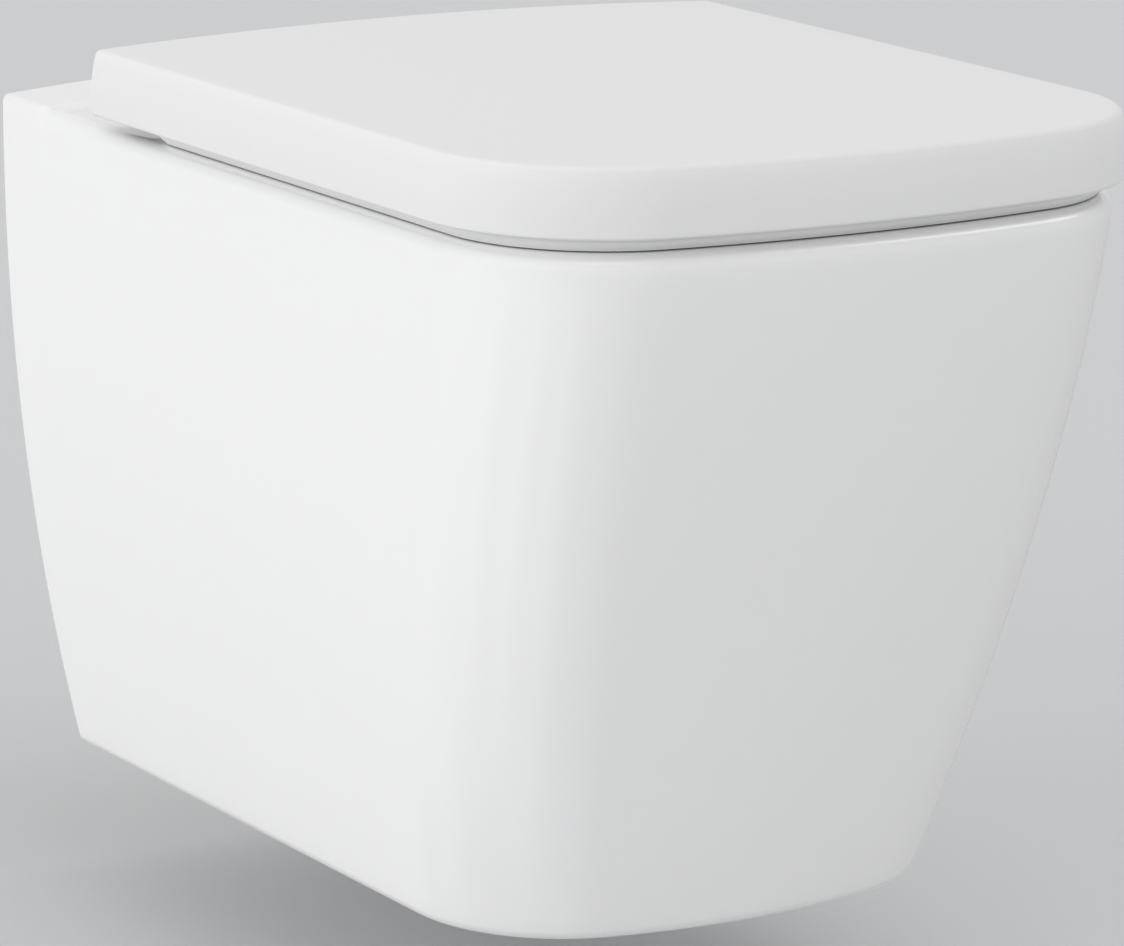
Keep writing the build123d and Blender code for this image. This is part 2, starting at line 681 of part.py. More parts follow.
def retaining_clip():
    """Right retaining clip: a flat spring fork in the pin's groove."""
    inner = GROOVE_R + BUTTON_CLEARANCE
    outer = inner + CLIP_WIRE
    front, back = FIXING_Y + clip_front(), FIXING_Y + clip_back()
    z_range = (groove_middle() - CLIP_THICKNESS / 2, groove_middle() + CLIP_THICKNESS / 2)
    clip = block((-outer, outer), (front, back), z_range)
    clip -= block((-inner, inner), (front - 1, back - CLIP_WIRE), (z_range[0] - 1, z_range[1] + 1))
    return (Pos(HINGE_X, 0, 0) * clip).solid()


def release_button():
    """Right release button: push block, flange that keeps it in the post, and wedge for the clip."""
    width, height = BUTTON_SIZE
    middle = groove_middle()
    front = AXIS_Y - POST_FRONT - BUTTON_PROUD
    back = FIXING_Y + button_back()
    half_clip = CLIP_THICKNESS / 2
    push = block((-width / 2, width / 2), (front, back - FLANGE_THICKNESS),
                 (middle - height / 2, middle + height / 2))
    push = fillet(push.faces().sort_by(Axis.Y)[0].edges(), POST_EDGE_R / 2)
    flange_x = PIN_R + CLIP_WIRE - CLIP_CLEARANCE
    z_range = (middle - half_clip, middle + half_clip)
    push += block((-flange_x, flange_x), (back - FLANGE_THICKNESS, back), z_range)
    tip = back + WEDGE_LENGTH
    corners = [(-PIN_R, back), (PIN_R, back), (PIN_R / 2, tip), (-PIN_R / 2, tip)]
    wedge = extrude(Pos(0, 0, z_range[0]) * make_face(Polyline(*corners, close=True)), CLIP_THICKNESS)
    return (Pos(HINGE_X, 0, 0) * (push + wedge)).solid()


def hinge_x(side, outward):
    """The post's face on one side of the pan: its outward face or the one towards the middle."""
    return side * (HINGE_X + (POST_WIDTH / 2 if outward else -POST_WIDTH / 2))


def on_axis(side, outward, start, end, radius):
    """Round bar along the hinge axis, from and to distances out of one face of a post."""
    step = side if outward else -side
    face = hinge_x(side, outward)
    return bar((face + step * start, AXIS_Y, AXIS_Z), (face + step * end, AXIS_Y, AXIS_Z), radius)


def shaft(side, outward, damped):
    """Steel shaft from its seat in a post into a damper or a bush."""
    reach = SIDE_GAP + DAMPER_LENGTH - (DAMPER_END if damped else 0) - RUNNING_CLEARANCE * 2
    seat = SHAFT_SEAT - RUNNING_CLEARANCE * 2
    return on_axis(side, outward, -seat, reach, SHAFT_R).solid()


def damper(side, outward):
    """Closed damper housing that turns round its shaft."""
    housing = on_axis(side, outward, SIDE_GAP, SIDE_GAP + DAMPER_LENGTH, DAMPER_R)
    bore = on_axis(side, outward, 0, SIDE_GAP + DAMPER_LENGTH - DAMPER_END, SHAFT_R + RUNNING_CLEARANCE)
    return (housing - bore).solid()


def bush(side, outward):
    """Open pivot bush."""
    sleeve = on_axis(side, outward, SIDE_GAP, SIDE_GAP + DAMPER_LENGTH, BEARING_R)
    bore = on_axis(side, outward, 0, SIDE_GAP + DAMPER_LENGTH + 1, SHAFT_R + RUNNING_CLEARANCE)
    return (sleeve - bore).solid()


def knuckle_span(side, outward):
    """Range of x that a knuckle takes up beside its post."""
    step = side if outward else -side
    face = hinge_x(side, outward)
    return sorted(face + step * reach for reach in (SIDE_GAP, SIDE_GAP + DAMPER_LENGTH + ARM_END_WALL))


def knuckle(side, outward):
    """Barrel on an arm of the seat or the lid, round the hinge axis."""
    low, high = knuckle_span(side, outward)
    return bar((low, AXIS_Y, AXIS_Z), (high, AXIS_Y, AXIS_Z), BARREL_R)


def knuckle_bore(side, outward, radius):
    """Blind hole in a knuckle that holds a damper or a bush."""
    return on_axis(side, outward, 0, SIDE_GAP + DAMPER_LENGTH, radius + HOUSING_CLEARANCE)


def seat_face(z, inset=0.0):
    """Outer outline of the seat at height z, which follows the lid's edge inside it."""
    inset += SEAT_MARGIN + SEAT_DRAFT * (z - SEAT_BOTTOM_Z) / (SEAT_TOP_Z - SEAT_BOTTOM_Z)
    return d_face(z, LID_HALF_WIDTH - inset, LID_FRONT - inset, LID_CORNER_R - inset, LID_BOW_R - inset,
                  SEAT_BACK + inset - SEAT_MARGIN, max(SEAT_BACK_R - inset + SEAT_MARGIN, 2))


def seat_hole_face(z, grow=0.0):
    """Outline of the opening in the seat at height z."""
    grow += SEAT_DRAFT * (SEAT_TOP_Z - z) / (SEAT_TOP_Z - SEAT_BOTTOM_Z)
    return d_face(z, SEAT_HOLE_HALF_WIDTH + grow, SEAT_HOLE_FRONT + grow, SEAT_HOLE_CORNER_R + grow,
                  SEAT_HOLE_BOW_R + grow, SEAT_HOLE_BACK - grow, SEAT_HOLE_BACK_R + grow)


def seat_buffer_places():
    """Where the seat's buffers stand on the pan's rim: two at the rear and two at the front of its sides."""
    side_x = LID_HALF_WIDTH - SEAT_MARGIN - SEAT_BUFFER_INSET
    rows = (-(SEAT_BACK + SEAT_BUFFER_REAR), -(LID_FRONT - SEAT_BUFFER_FRONT))
    return [(side * side_x, y) for side in (1, -1) for y in rows]


def seat_ring():
    """Ring seat, hollow underneath, with the arms that carry it on the hinge axis."""
    low, high = SEAT_BOTTOM_Z, SEAT_TOP_Z
    ring = loft([seat_face(low), seat_face(high)])
    ring = fillet(ring.faces().sort_by(Axis.Z)[-1].edges(), SEAT_OUTER_EDGE_R)
    ring -= loft([seat_hole_face(low - 1), seat_hole_face(high + 1)])
    top = ring.faces().filter_by(Axis.Z).sort_by(Axis.Z)[-1]
    ring = fillet(top.inner_wires()[0].edges(), SEAT_INNER_EDGE_R)
    ceiling = high - SEAT_TOP_WALL
    hollow = loft([seat_face(low - 1, SEAT_WALL), seat_face(ceiling, SEAT_WALL)])
    hollow -= loft([seat_hole_face(low - 2, SEAT_WALL), seat_hole_face(ceiling + 1, SEAT_WALL)])
    for x, y in seat_buffer_places():
        hollow -= Pos(x, y, low - 1) * Cylinder(SEAT_BUFFER_PAD_R, high - low, align=HOOK)
    ring -= hollow
    for side in (-1, 1):
        ring += block(knuckle_span(side, False), (-SEAT_BACK - SEAT_WALL, AXIS_Y),
                      (AXIS_Z - ARM_BELOW, AXIS_Z + ARM_ABOVE))
        ring += knuckle(side, False)
        ring -= knuckle_bore(side, False, DAMPER_R if side < 0 else BEARING_R)
    for x, y in seat_buffer_places():
        ring -= Pos(x, y, low - 1) * Cylinder(SEAT_BUFFER_STEM_R, SEAT_BUFFER_STEM + 1, align=HOOK)
    return ring.solid()


def seat_buffer(x, y):
    """Rubber foot of the seat, with a stem in its boss."""
    rest_z = RIM_Z + BUFFER_GAP
    foot = Pos(x, y, rest_z) * Cylinder(SEAT_BUFFER_R, SEAT_BOTTOM_Z - rest_z, align=HOOK)
    foot = chamfer(foot.edges().sort_by(Axis.Z)[0], BUFFER_CHAMFER)
    stem = Pos(x, y, SEAT_BOTTOM_Z) * Cylinder(SEAT_BUFFER_STEM_R, SEAT_BUFFER_STEM, align=HOOK)
    return (foot + stem).solid()


def lid_crown(drop=0.0):
    """Everything under the crowned top of the lid: highest at the back and flat at the front edge."""
    half_width = LID_HALF_WIDTH + LID_WALL
    length = LID_FRONT - LID_BACK
    sections = []
    for share in (-0.03, 0.35, 0.7, 1.02):
        rise = LID_CROWN * (1 - max(share, 0) ** LID_CROWN_POWER)
        rise = max(rise, LID_CROWN / 100)
        edge = LID_EDGE_Z - drop
        fall = rise * ((half_width / LID_HALF_WIDTH) ** 2 - 1)
        y = -(LID_BACK + length * share)
        low = LID_BOTTOM_Z - 2 * LID_WALL
        with BuildSketch(Plane(origin=(0, y, 0), x_dir=(1, 0, 0), z_dir=(0, -1, 0))) as sketch:
            with BuildLine():
                Line((-half_width, low), (half_width, low))
                Line((half_width, low), (half_width, edge - fall))
                ThreePointArc((half_width, edge - fall), (0, edge + rise), (-half_width, edge - fall))
                Line((-half_width, edge - fall), (-half_width, low))
            make_face()
        sections.append(sketch.sketch.face())
    return loft(sections)


def lid():
    """Lid: a crowned shell that hangs down over the seat, closed at the back between the hinge posts."""
    above = LID_EDGE_Z + LID_CROWN + 1
    levels = (LID_WIDEST_Z, mix(LID_WIDEST_Z, LID_EDGE_Z, 0.5), LID_EDGE_Z, above)

    def filled(wall, foot_z):
        band = extrude(lid_face(foot_z, wall), LID_WIDEST_Z - foot_z)
        return (loft([lid_face(z, wall) for z in levels]) + band) & lid_crown(wall)

    shell = filled(0.0, LID_BOTTOM_Z)
    top = shell.faces().sort_by(Axis.Z)[-1]
    shell = fillet(top.edges(), LID_TOP_EDGE_R)
    hollow = filled(LID_WALL, LID_BOTTOM_Z - 1)
    bottom = shell.faces().sort_by(Axis.Z)[0].edges()
    shell = fillet(bottom, LID_BOTTOM_EDGE_R)
    shell -= hollow
    slot_half = POST_WIDTH / 2 + LID_SLOT_CLEARANCE
    for side in (-1, 1):
        middle = side * HINGE_X
        shell -= block((middle - slot_half, middle + slot_half), (-LID_BACK - LID_WALL - 1, -LID_BACK + 1),
                       (LID_BOTTOM_Z - 1, LID_EDGE_Z - LID_WALL))
        web = block(knuckle_span(side, True), (AXIS_Y - BARREL_R, AXIS_Y + BARREL_R), (AXIS_Z, above))
        shell += web & lid_crown(LID_WALL / 2)
        shell += knuckle(side, True)
        shell -= knuckle_bore(side, True, DAMPER_R if side > 0 else BEARING_R)
    return shell.solid()


def lid_buffer(x, y):
    """Rubber stud under the lid, just clear of the seat when the lid is down."""
    stud = Pos(x, y, SEAT_TOP_Z + BUFFER_GAP) * Cylinder(LID_BUFFER_R, LID_EDGE_Z, align=HOOK)
    stud = chamfer(stud.edges().sort_by(Axis.Z)[0], BUFFER_CHAMFER)
    return (stud & lid_crown(LID_WALL)).solid()


def pieces():
    """Every piece by name."""
    left, right = -1, 1

    def flipped(piece):
        return mirror(piece, about=Plane.YZ)

    front_x, front_y = LID_HALF_WIDTH - LID_BUFFER_FRONT[0], LID_BUFFER_FRONT[1] - LID_FRONT
    rear_x, rear_y = LID_HALF_WIDTH - LID_BUFFER_REAR[0], -LID_BUFFER_REAR[1] - LID_BACK
    lid_places = [(side * x, y) for x, y in ((front_x, front_y), (rear_x, rear_y)) for side in (left, right)]
    return {
        "ceramic_deck": ceramic_deck().solid(),
        "ceramic_skirt": ceramic_skirt().solid(),
        "ceramic_back_plate": ceramic_back_plate().solid(),
        "ceramic_bowl": ceramic_bowl().solid(),
        "ceramic_sump": ceramic_sump().solid(),
        "ceramic_flush_way": ceramic_flush_way().solid(),
        "ceramic_trapway": ceramic_trapway().solid(),
        "wall_bushes": both_sides(wall_bush),
        "clamp_block_right": clamp_block(),
        "clamp_block_left": flipped(clamp_block()),
        "clamp_screws": both_sides(clamp_screw),
        "clamp_pads": both_sides(clamp_pad),
        "hinge_base_right": hinge_base(),
        "hinge_base_left": flipped(hinge_base()),
        "hinge_screws": both_sides(hinge_screw),
        "expansion_plugs": both_sides(expansion_plug),
        "plug_nuts": both_sides(plug_nut),
        "hinge_post_right": hinge_post(),
        "hinge_post_left": flipped(hinge_post()),
        "retaining_clip_right": retaining_clip(),
        "retaining_clip_left": flipped(retaining_clip()),
        "release_button_right": release_button(),
        "release_button_left": flipped(release_button()),
        "seat_damper_shaft": shaft(left, False, True),
        "seat_pivot_pin": shaft(right, False, False),
        "lid_damper_shaft": shaft(right, True, True),
        "lid_pivot_pin": shaft(left, True, False),
        "seat_damper_housing": damper(left, False),
        "seat_pivot_bush": bush(right, False),
        "lid_damper_housing": damper(right, True),
        "lid_pivot_bush": bush(left, True),
        "seat_ring": seat_ring(),
        "seat_buffers": Compound(children=[seat_buffer(x, y) for x, y in seat_buffer_places()]),
        "lid": lid(),
        "lid_buffers": Compound(children=[lid_buffer(x, y) for x, y in lid_places]),
    }


os.makedirs("parts", exist_ok=True)
for name, piece in pieces().items():
    export_step(piece, f"parts/{name}.step")
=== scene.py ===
from collections import namedtuple
from math import atan2, cos, pi, radians, sin, sqrt, tan

import bmesh
import bpy
import numpy as np
from bpy.props import FloatProperty, FloatVectorProperty, PointerProperty
from mathutils import Matrix, Vector


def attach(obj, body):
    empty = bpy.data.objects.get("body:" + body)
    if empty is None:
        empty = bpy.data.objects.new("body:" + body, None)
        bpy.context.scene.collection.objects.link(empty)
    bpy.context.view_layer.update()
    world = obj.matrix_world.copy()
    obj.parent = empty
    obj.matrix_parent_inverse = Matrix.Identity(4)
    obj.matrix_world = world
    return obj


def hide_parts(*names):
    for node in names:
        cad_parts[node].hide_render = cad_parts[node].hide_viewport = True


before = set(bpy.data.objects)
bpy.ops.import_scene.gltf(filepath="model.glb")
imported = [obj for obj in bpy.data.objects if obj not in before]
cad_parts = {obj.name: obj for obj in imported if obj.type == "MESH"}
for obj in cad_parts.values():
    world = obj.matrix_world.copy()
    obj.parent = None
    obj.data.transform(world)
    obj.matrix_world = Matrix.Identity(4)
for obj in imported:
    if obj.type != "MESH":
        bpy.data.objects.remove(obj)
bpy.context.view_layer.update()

bl_info = {
    "name": "Wall hung toilet",
    "version": (1, 0, 0),
    "blender": (4, 5, 0),
    "location": "3D View > Sidebar > Toilet",
    "description": "Builds the finished surfaces of a wall hung toilet round its construction model",
    "category": "Add Mesh",
}

# Metres, +Z up. The wall is the plane y = 0 and the pan reaches out along -Y.
MM = 0.001
SMOOTH_ANGLE = radians(28)
CORNER_STEPS = 28
BOW_STEPS = 30
SIDE_STEPS = 24
BACK_STEPS = 24
ROUND_STEPS = 9
TURN_STEPS = 64
HINGE_SIDES = (("right", 1), ("left", -1))


def length(name, description, default):
    """Property for a size in metres."""
    return FloatProperty(name=name, description=description, default=default, min=0.0, unit="LENGTH")


def share(name, description, default):
    """Property for a value from nothing to all."""
    return FloatProperty(name=name, description=description, default=default, min=0.0, max=1.0, subtype="FACTOR")


def colour(name, description, default):
    """Property for a colour in linear light."""
    return FloatVectorProperty(name=name, description=description, default=default, size=3, min=0.0, max=1.0,
                               subtype="COLOR")


class PanSizes(bpy.types.PropertyGroup):
    deck_z: length("Deck height", "Rear corners of the deck above the wall bolts", 0.080)
    height: length("Height", "From the deck corners down to the base", 0.356)
    half_width: length("Half width", "Half the width at the deck", 0.181)
    front: length("Length", "From the wall to the front of the rim", 0.540)
    narrowing: length("Base narrowing", "How much less half width the base has", 0.043)
    recess: length("Base recess", "How far the base stands back from the front", 0.098)
    corner_r: length("Deck corner radius", "Front corners at the deck", 0.0883)
    base_corner_r: length("Base corner radius", "Front corners at the base", 0.081)
    bow_r: length("Deck bow radius", "Curve of the front at the deck", 0.710)
    base_bow_r: length("Base bow radius", "Curve of the front at the base", 0.317)
    rim_drop: length("Rim drop", "Rim plane below the deck corners", 0.0015)
    rim_edge_r: length("Rim edge radius", "Rounding of the outer rim edge", 0.008)
    rim_band: length("Rim band", "Upright band under the rounded rim edge", 0.001)
    base_edge_r: length("Base edge radius", "Rounding of the lower edge", 0.006)
    crown: length("Ledge crown", "Rise of the ledge in its middle", 0.008)
    ledge_front: length("Ledge depth", "From the wall to the foot of the ledge", 0.057)
    ledge_corner_r: length("Ledge corner radius", "Corners of the ledge seen from above", 0.036)
    ledge_edge_r: length("Ledge edge radius", "Rounding along the sides of the ledge", 0.004)
    wall: length("Skirt wall", "Thickness of the skirt", 0.013)
    deck_thickness: length("Deck thickness", "Thickness of the rim and deck", 0.016)
    back_plate: length("Back plate", "Thickness of the plate against the wall", 0.018)
    back_plate_drop: length("Back plate drop", "Lower edge of the plate below the bolts", 0.050)
    rim_width: length("Rim width", "Flat rim beside the bowl", 0.033)
    bowl_back: length("Bowl back", "Back of the bowl's mouth from the wall", 0.172)
    bowl_wall: length("Bowl wall", "Thickness of the bowl", 0.010)
    sump_z: length("Sump depth", "Bottom of the bowl below the bolts", 0.226)
    mouth_edge_r: length("Mouth edge radius", "Rounding of the bowl's mouth", 0.006)
    trap_r: length("Trap radius", "Water way of the trap", 0.027)
    trap_wall: length("Trap wall", "Thickness of the trap", 0.009)


class LidSizes(bpy.types.PropertyGroup):
    half_width: length("Half width", "Half the width of the lid", 0.187)
    front: length("Front", "Front edge from the wall", 0.543)
    back: length("Back", "Back edge from the wall", 0.109)
    corner_r: length("Corner radius", "Front corners", 0.0913)
    bow_r: length("Bow radius", "Curve of the front", 0.713)
    back_r: length("Back corner radius", "Upright rear corners", 0.004)
    bottom_z: length("Bottom", "Lower edge above the wall bolts", 0.086)
    widest_z: length("Upright height", "Where the edge starts to lean in", 0.096)
    edge_z: length("Edge height", "Top surface at the edge", 0.1186)
    lean: length("Lean", "How far the upper edge draws in", 0.003)
    crown: length("Crown", "Rise of the top at the back", 0.0051)
    wall: length("Wall", "Thickness of the shell", 0.005)
    top_edge_r: length("Top edge radius", "Rounding of the top edge", 0.003)
    bottom_edge_r: length("Bottom edge radius", "Rounding of the lower edge", 0.0015)


class SeatSizes(bpy.types.PropertyGroup):
    margin: length("Margin", "Seat edge inside the lid edge", 0.0085)
    back: length("Back", "Back edge from the wall", 0.152)
    back_r: length("Back corner radius", "Rear corners", 0.020)
    bottom_z: length("Bottom", "Lower edge above the wall bolts", 0.084)
    lip: length("Lip", "Outer wall below the seat's underside", 0.0049)
    undercut: length("Undercut", "How far the lip draws in towards its foot", 0.004)
    top_z: length("Top", "Top surface above the wall bolts", 0.107)
    draft: length("Draft", "How far the edge draws in over the height", 0.001)
    edge_r: length("Edge radius", "Rounding of the top edges", 0.009)
    wall: length("Wall", "Side wall under the seat", 0.0055)
    top_wall: length("Top wall", "Thickness over the hollow", 0.006)
    hole_half_width: length("Opening half width", "Half the width of the opening", 0.108)
    hole_back: length("Opening back", "Back of the opening from the wall", 0.210)
    hole_front: length("Opening front", "Front of the opening from the wall", 0.487)
    buffer_inset: length("Buffer inset", "Buffers inside the seat's edge", 0.0165)
    buffer_rear: length("Rear buffers", "Ahead of the seat's back", 0.083)
    buffer_front: length("Front buffers", "Behind the lid's front", 0.118)
    boss_r: length("Boss radius", "Bosses over the buffers", 0.012)


class HingeSizes(bpy.types.PropertyGroup):
    spacing: length("Spacing", "Between the two hinge posts", 0.155)
    fixing_y: length("Fixing distance", "Deck holes from the wall", 0.129)
    axis_y: length("Axis distance", "Hinge axis from the wall", 0.125)
    axis_z: length("Axis height", "Hinge axis above the wall bolts", 0.104)
    barrel_r: length("Barrel radius", "Knuckles round the axis", 0.009)
    post_width: length("Post width", "Width of a hinge post", 0.027)


class FixingSizes(bpy.types.PropertyGroup):
    grub_r: length("Clamp screw radius", "Outside of the clamp screws' thread", 0.004)
    grub_length: length("Clamp screw length", "Whole length", 0.058)
    grub_standoff: length("Clamp screw standoff", "From the back plate to the screw's point", 0.005)
    grub_pitch: length("Clamp screw pitch", "Rise of the thread in one turn", 0.00125)
    grub_socket_r: length("Clamp screw socket", "Corners of the hexagon socket", 0.0026)
    hole_r: length("Deck hole radius", "Holes for the seat in the deck", 0.007)
    plug_clearance: length("Plug clearance", "Between the plug and its hole", 0.0002)
    plug_length: length("Plug length", "Below the deck's top", 0.034)
    rib_depth: length("Plug ribs", "Depth of the grooves between the ribs", 0.0005)
    nut_height: length("Nut height", "Nut with its cone", 0.010)
    cone_height: length("Cone height", "Cone of the nut", 0.006)
    cone_r: length("Cone radius", "Lower end of the cone", 0.0063)
    cone_tip_r: length("Cone tip radius", "Upper end of the cone", 0.0036)
    screw_r: length("Seat screw radius", "Outside of the seat screws' thread", 0.0025)
    screw_pitch: length("Seat screw pitch", "Rise of the thread in one turn", 0.0008)
    screw_seat: length("Seat screw head", "Underside of the head above the deck", 0.013)
    head_r: length("Head radius", "Head of the seat screws", 0.0041)
    head_height: length("Head height", "Head of the seat screws", 0.004)
    socket_r: length("Seat screw socket", "Corners of the hexagon socket", 0.0022)


class Finishes(bpy.types.PropertyGroup):
    glaze: colour("Glaze", "Glazed sanitary ceramic", (0.90, 0.902, 0.905))
    bisque: colour("Unglazed body", "Bare fired clay", (0.72, 0.70, 0.67))
    plastic: colour("Seat plastic", "Moulded seat and lid", (0.93, 0.93, 0.93))
    steel: colour("Stainless steel", "Hinge posts, pins and clips", (0.60, 0.60, 0.59))
    zinc: colour("Zinc plate", "Plated fixings", (0.58, 0.60, 0.63))
    rubber: colour("Grey rubber", "Buffers", (0.46, 0.47, 0.48))
    dark_rubber: colour("Black rubber", "Expansion plugs", (0.03, 0.03, 0.032))
    nylon: colour("Nylon", "Bushes and pads", (0.72, 0.71, 0.67))
    damper: colour("Damper plastic", "Damper housings", (0.17, 0.18, 0.20))
    glaze_roughness: share("Glaze roughness", "Roughness of the glaze", 0.06)
    plastic_roughness: share("Seat roughness", "Roughness of the seat plastic", 0.12)


class StageSettings(bpy.types.PropertyGroup):
    azimuth: FloatProperty(name="Azimuth", description="Camera round the object", default=radians(-31.84),
                           subtype="ANGLE")
    elevation: FloatProperty(name="Elevation", description="Camera above the horizon", default=radians(13.03),
                             subtype="ANGLE")
    roll: FloatProperty(name="Roll", description="Turn about the view axis", default=radians(0.63), subtype="ANGLE")
    distance: length("Distance", "From the camera to its target", 2.9)
    lens: FloatProperty(name="Lens", description="Focal length on a 36 mm sensor", default=184.2, unit="CAMERA")
    floor_gap: length("Gap over the floor", "From the base down to the floor", 0.065)
    floor: colour("Floor", "Floor of the studio", (0.62, 0.625, 0.635))
    background: colour("Background", "What the camera sees behind the floor", (0.66, 0.665, 0.675))
    even: FloatProperty(name="Even light", description="Light from all sides", default=0.62, min=0.0)
    even_mirrored: FloatProperty(name="Even mirrored light", description="The same where it is mirrored", default=0.55,
                                 min=0.0)


class Value:
    """Socket that can be used in Python arithmetic."""

    def __init__(self, tree, socket):
        self.tree = tree
        self.socket = socket

    def _with(self, operation, first, second=0.0):
        return self.tree.node("Math", {"operation": operation}, {0: first, 1: second})

    def __add__(self, other):
        return self._with("ADD", self, other)

    def __radd__(self, other):
        return self._with("ADD", other, self)

    def __sub__(self, other):
        return self._with("SUBTRACT", self, other)

    def __rsub__(self, other):
        return self._with("SUBTRACT", other, self)

    def __mul__(self, other):
        return self._with("MULTIPLY", self, other)

    def __rmul__(self, other):
        return self._with("MULTIPLY", other, self)

    def __truediv__(self, other):
        return self._with("DIVIDE", self, other)

    def __gt__(self, other):
        return self._with("GREATER_THAN", self, other)

    def __lt__(self, other):
        return self._with("LESS_THAN", self, other)


class Tree:
    """Node tree of a material or the world, emptied, with one method that adds any node."""

    def __init__(self, owner):
        owner.use_nodes = True
        self.tree = owner.node_tree
        self.tree.nodes.clear()

    def node(self, kind, settings=None, inputs=None, output=0):
        made = self.tree.nodes.new("ShaderNode" + kind)
        for name, value in (settings or {}).items():
            if name == "stops":
                for stop, (place, shade) in zip(ramp_stops(made, len(value)), value):
                    stop.position = place
                    stop.color = shade
            else:
                setattr(made, name, value)
        for name, value in (inputs or {}).items():
            if isinstance(value, Value):
                self.tree.links.new(value.socket, made.inputs[name])
            else:
                made.inputs[name].default_value = value
        return Value(self, made.outputs[output]) if made.outputs else made


def ramp_stops(ramp, count):
    """Stops of a colour ramp, as many as asked for."""
    elements = ramp.color_ramp.elements
    while len(elements) < count:
        elements.new(1.0)
    return elements


def grey(level):
    """Opaque grey for a colour ramp."""
    return (level, level, level, 1.0)


def material(name, shade, roughness, bump=0.0, grain=60.0, metallic=0.0, tint=0.02, wear=0.03, **extra):
    """Principled material: its colour and roughness drift a little over the surface, with a fine bump."""
    made = bpy.data.materials.new(name)
    tree = Tree(made)
    place = tree.node("TexCoord", output="Object")
    drift = tree.node("TexNoise", inputs={"Vector": place, "Scale": 9.0, "Detail": 3.0}, output="Fac")
    fine = tree.node("TexNoise", inputs={"Vector": place, "Scale": grain, "Detail": 4.0}, output="Fac")
    dark = tuple(part * (1 - tint) for part in shade) + (1.0,)
    base = tree.node("Mix", {"data_type": "RGBA"}, {"Factor": drift, 6: dark, 7: tuple(shade) + (1.0,)}, output=2)
    inputs = {
        "Base Color": base,
        "Roughness": roughness + (drift - 0.5) * wear + (fine - 0.5) * wear,
        "Metallic": metallic,
    }
    if bump:
        inputs["Normal"] = tree.node("Bump", inputs={"Height": fine, "Strength": 1.0, "Distance": bump})
    inputs.update(extra)
    shader = tree.node("BsdfPrincipled", inputs=inputs)
    tree.node("OutputMaterial", inputs={"Surface": shader})
    return made


def brushed(name, shade, roughness, along):
    """Metal with fine lines along one axis."""
    made = bpy.data.materials.new(name)
    tree = Tree(made)
    place = tree.node("TexCoord", output="Object")
    stretch = tuple(60.0 if axis == along else 2400.0 for axis in "XYZ")
    scaled = tree.node("VectorMath", {"operation": "MULTIPLY"}, {0: place, 1: stretch})
    lines = tree.node("TexNoise", inputs={"Vector": scaled, "Scale": 1.0, "Detail": 2.0}, output="Fac")
    drift = tree.node("TexNoise", inputs={"Vector": place, "Scale": 40.0, "Detail": 2.0}, output="Fac")
    dark = tuple(part * 0.86 for part in shade) + (1.0,)
    base = tree.node("Mix", {"data_type": "RGBA"}, {"Factor": lines, 6: dark, 7: tuple(shade) + (1.0,)}, output=2)
    shader = tree.node("BsdfPrincipled", inputs={
        "Base Color": base,
        "Metallic": 1.0,
        "Roughness": roughness + (lines - 0.5) * 0.12 + (drift - 0.5) * 0.08,
        "Normal": tree.node("Bump", inputs={"Height": lines, "Strength": 0.4, "Distance": 0.02 * MM}),
    })
    tree.node("OutputMaterial", inputs={"Surface": shader})
    return made


_made = {}


def finish_of(slot):
    """Material for a slot of the record, made once."""
    if slot in _made:
        return _made[slot]
    looks = bpy.context.scene.toilet_finishes
    makers = {
        "ceramic": lambda: glaze_material(looks),
        "bisque": lambda: material("bare_ceramic", looks.bisque, 0.78, 0.05 * MM, 900.0, tint=0.08, wear=0.08),
        "seat_plastic": lambda: material("seat_plastic", looks.plastic, looks.plastic_roughness, 0.004 * MM, 160.0,
                                         tint=0.006, wear=0.02, **{"Coat Weight": 0.25, "Coat Roughness": 0.05}),
        "buffer_rubber": lambda: material("buffer_rubber", looks.rubber, 0.62, 0.03 * MM, 900.0),
        "plug_rubber": lambda: material("plug_rubber", looks.dark_rubber, 0.7, 0.04 * MM, 800.0, tint=0.3),
        "stainless": lambda: brushed("stainless", looks.steel, 0.24, "X"),
        "zinc_steel": lambda: material("zinc_steel", looks.zinc, 0.34, 0.01 * MM, 700.0, metallic=1.0, tint=0.18,
                                       wear=0.15),
        "shaft_steel": lambda: brushed("shaft_steel", looks.steel, 0.18, "X"),
        "bearing_plastic": lambda: material("bearing_plastic", looks.nylon, 0.42, 0.02 * MM, 500.0),
        "damper_plastic": lambda: material("damper_plastic", looks.damper, 0.45, 0.02 * MM, 700.0),
        "button_plastic": lambda: material("button_plastic", looks.steel, 0.3, 0.01 * MM, 700.0, metallic=0.85),
        "fixing_plastic": lambda: material("fixing_plastic", looks.nylon, 0.5, 0.03 * MM, 500.0),
    }
    _made[slot] = makers[slot]()
    return _made[slot]


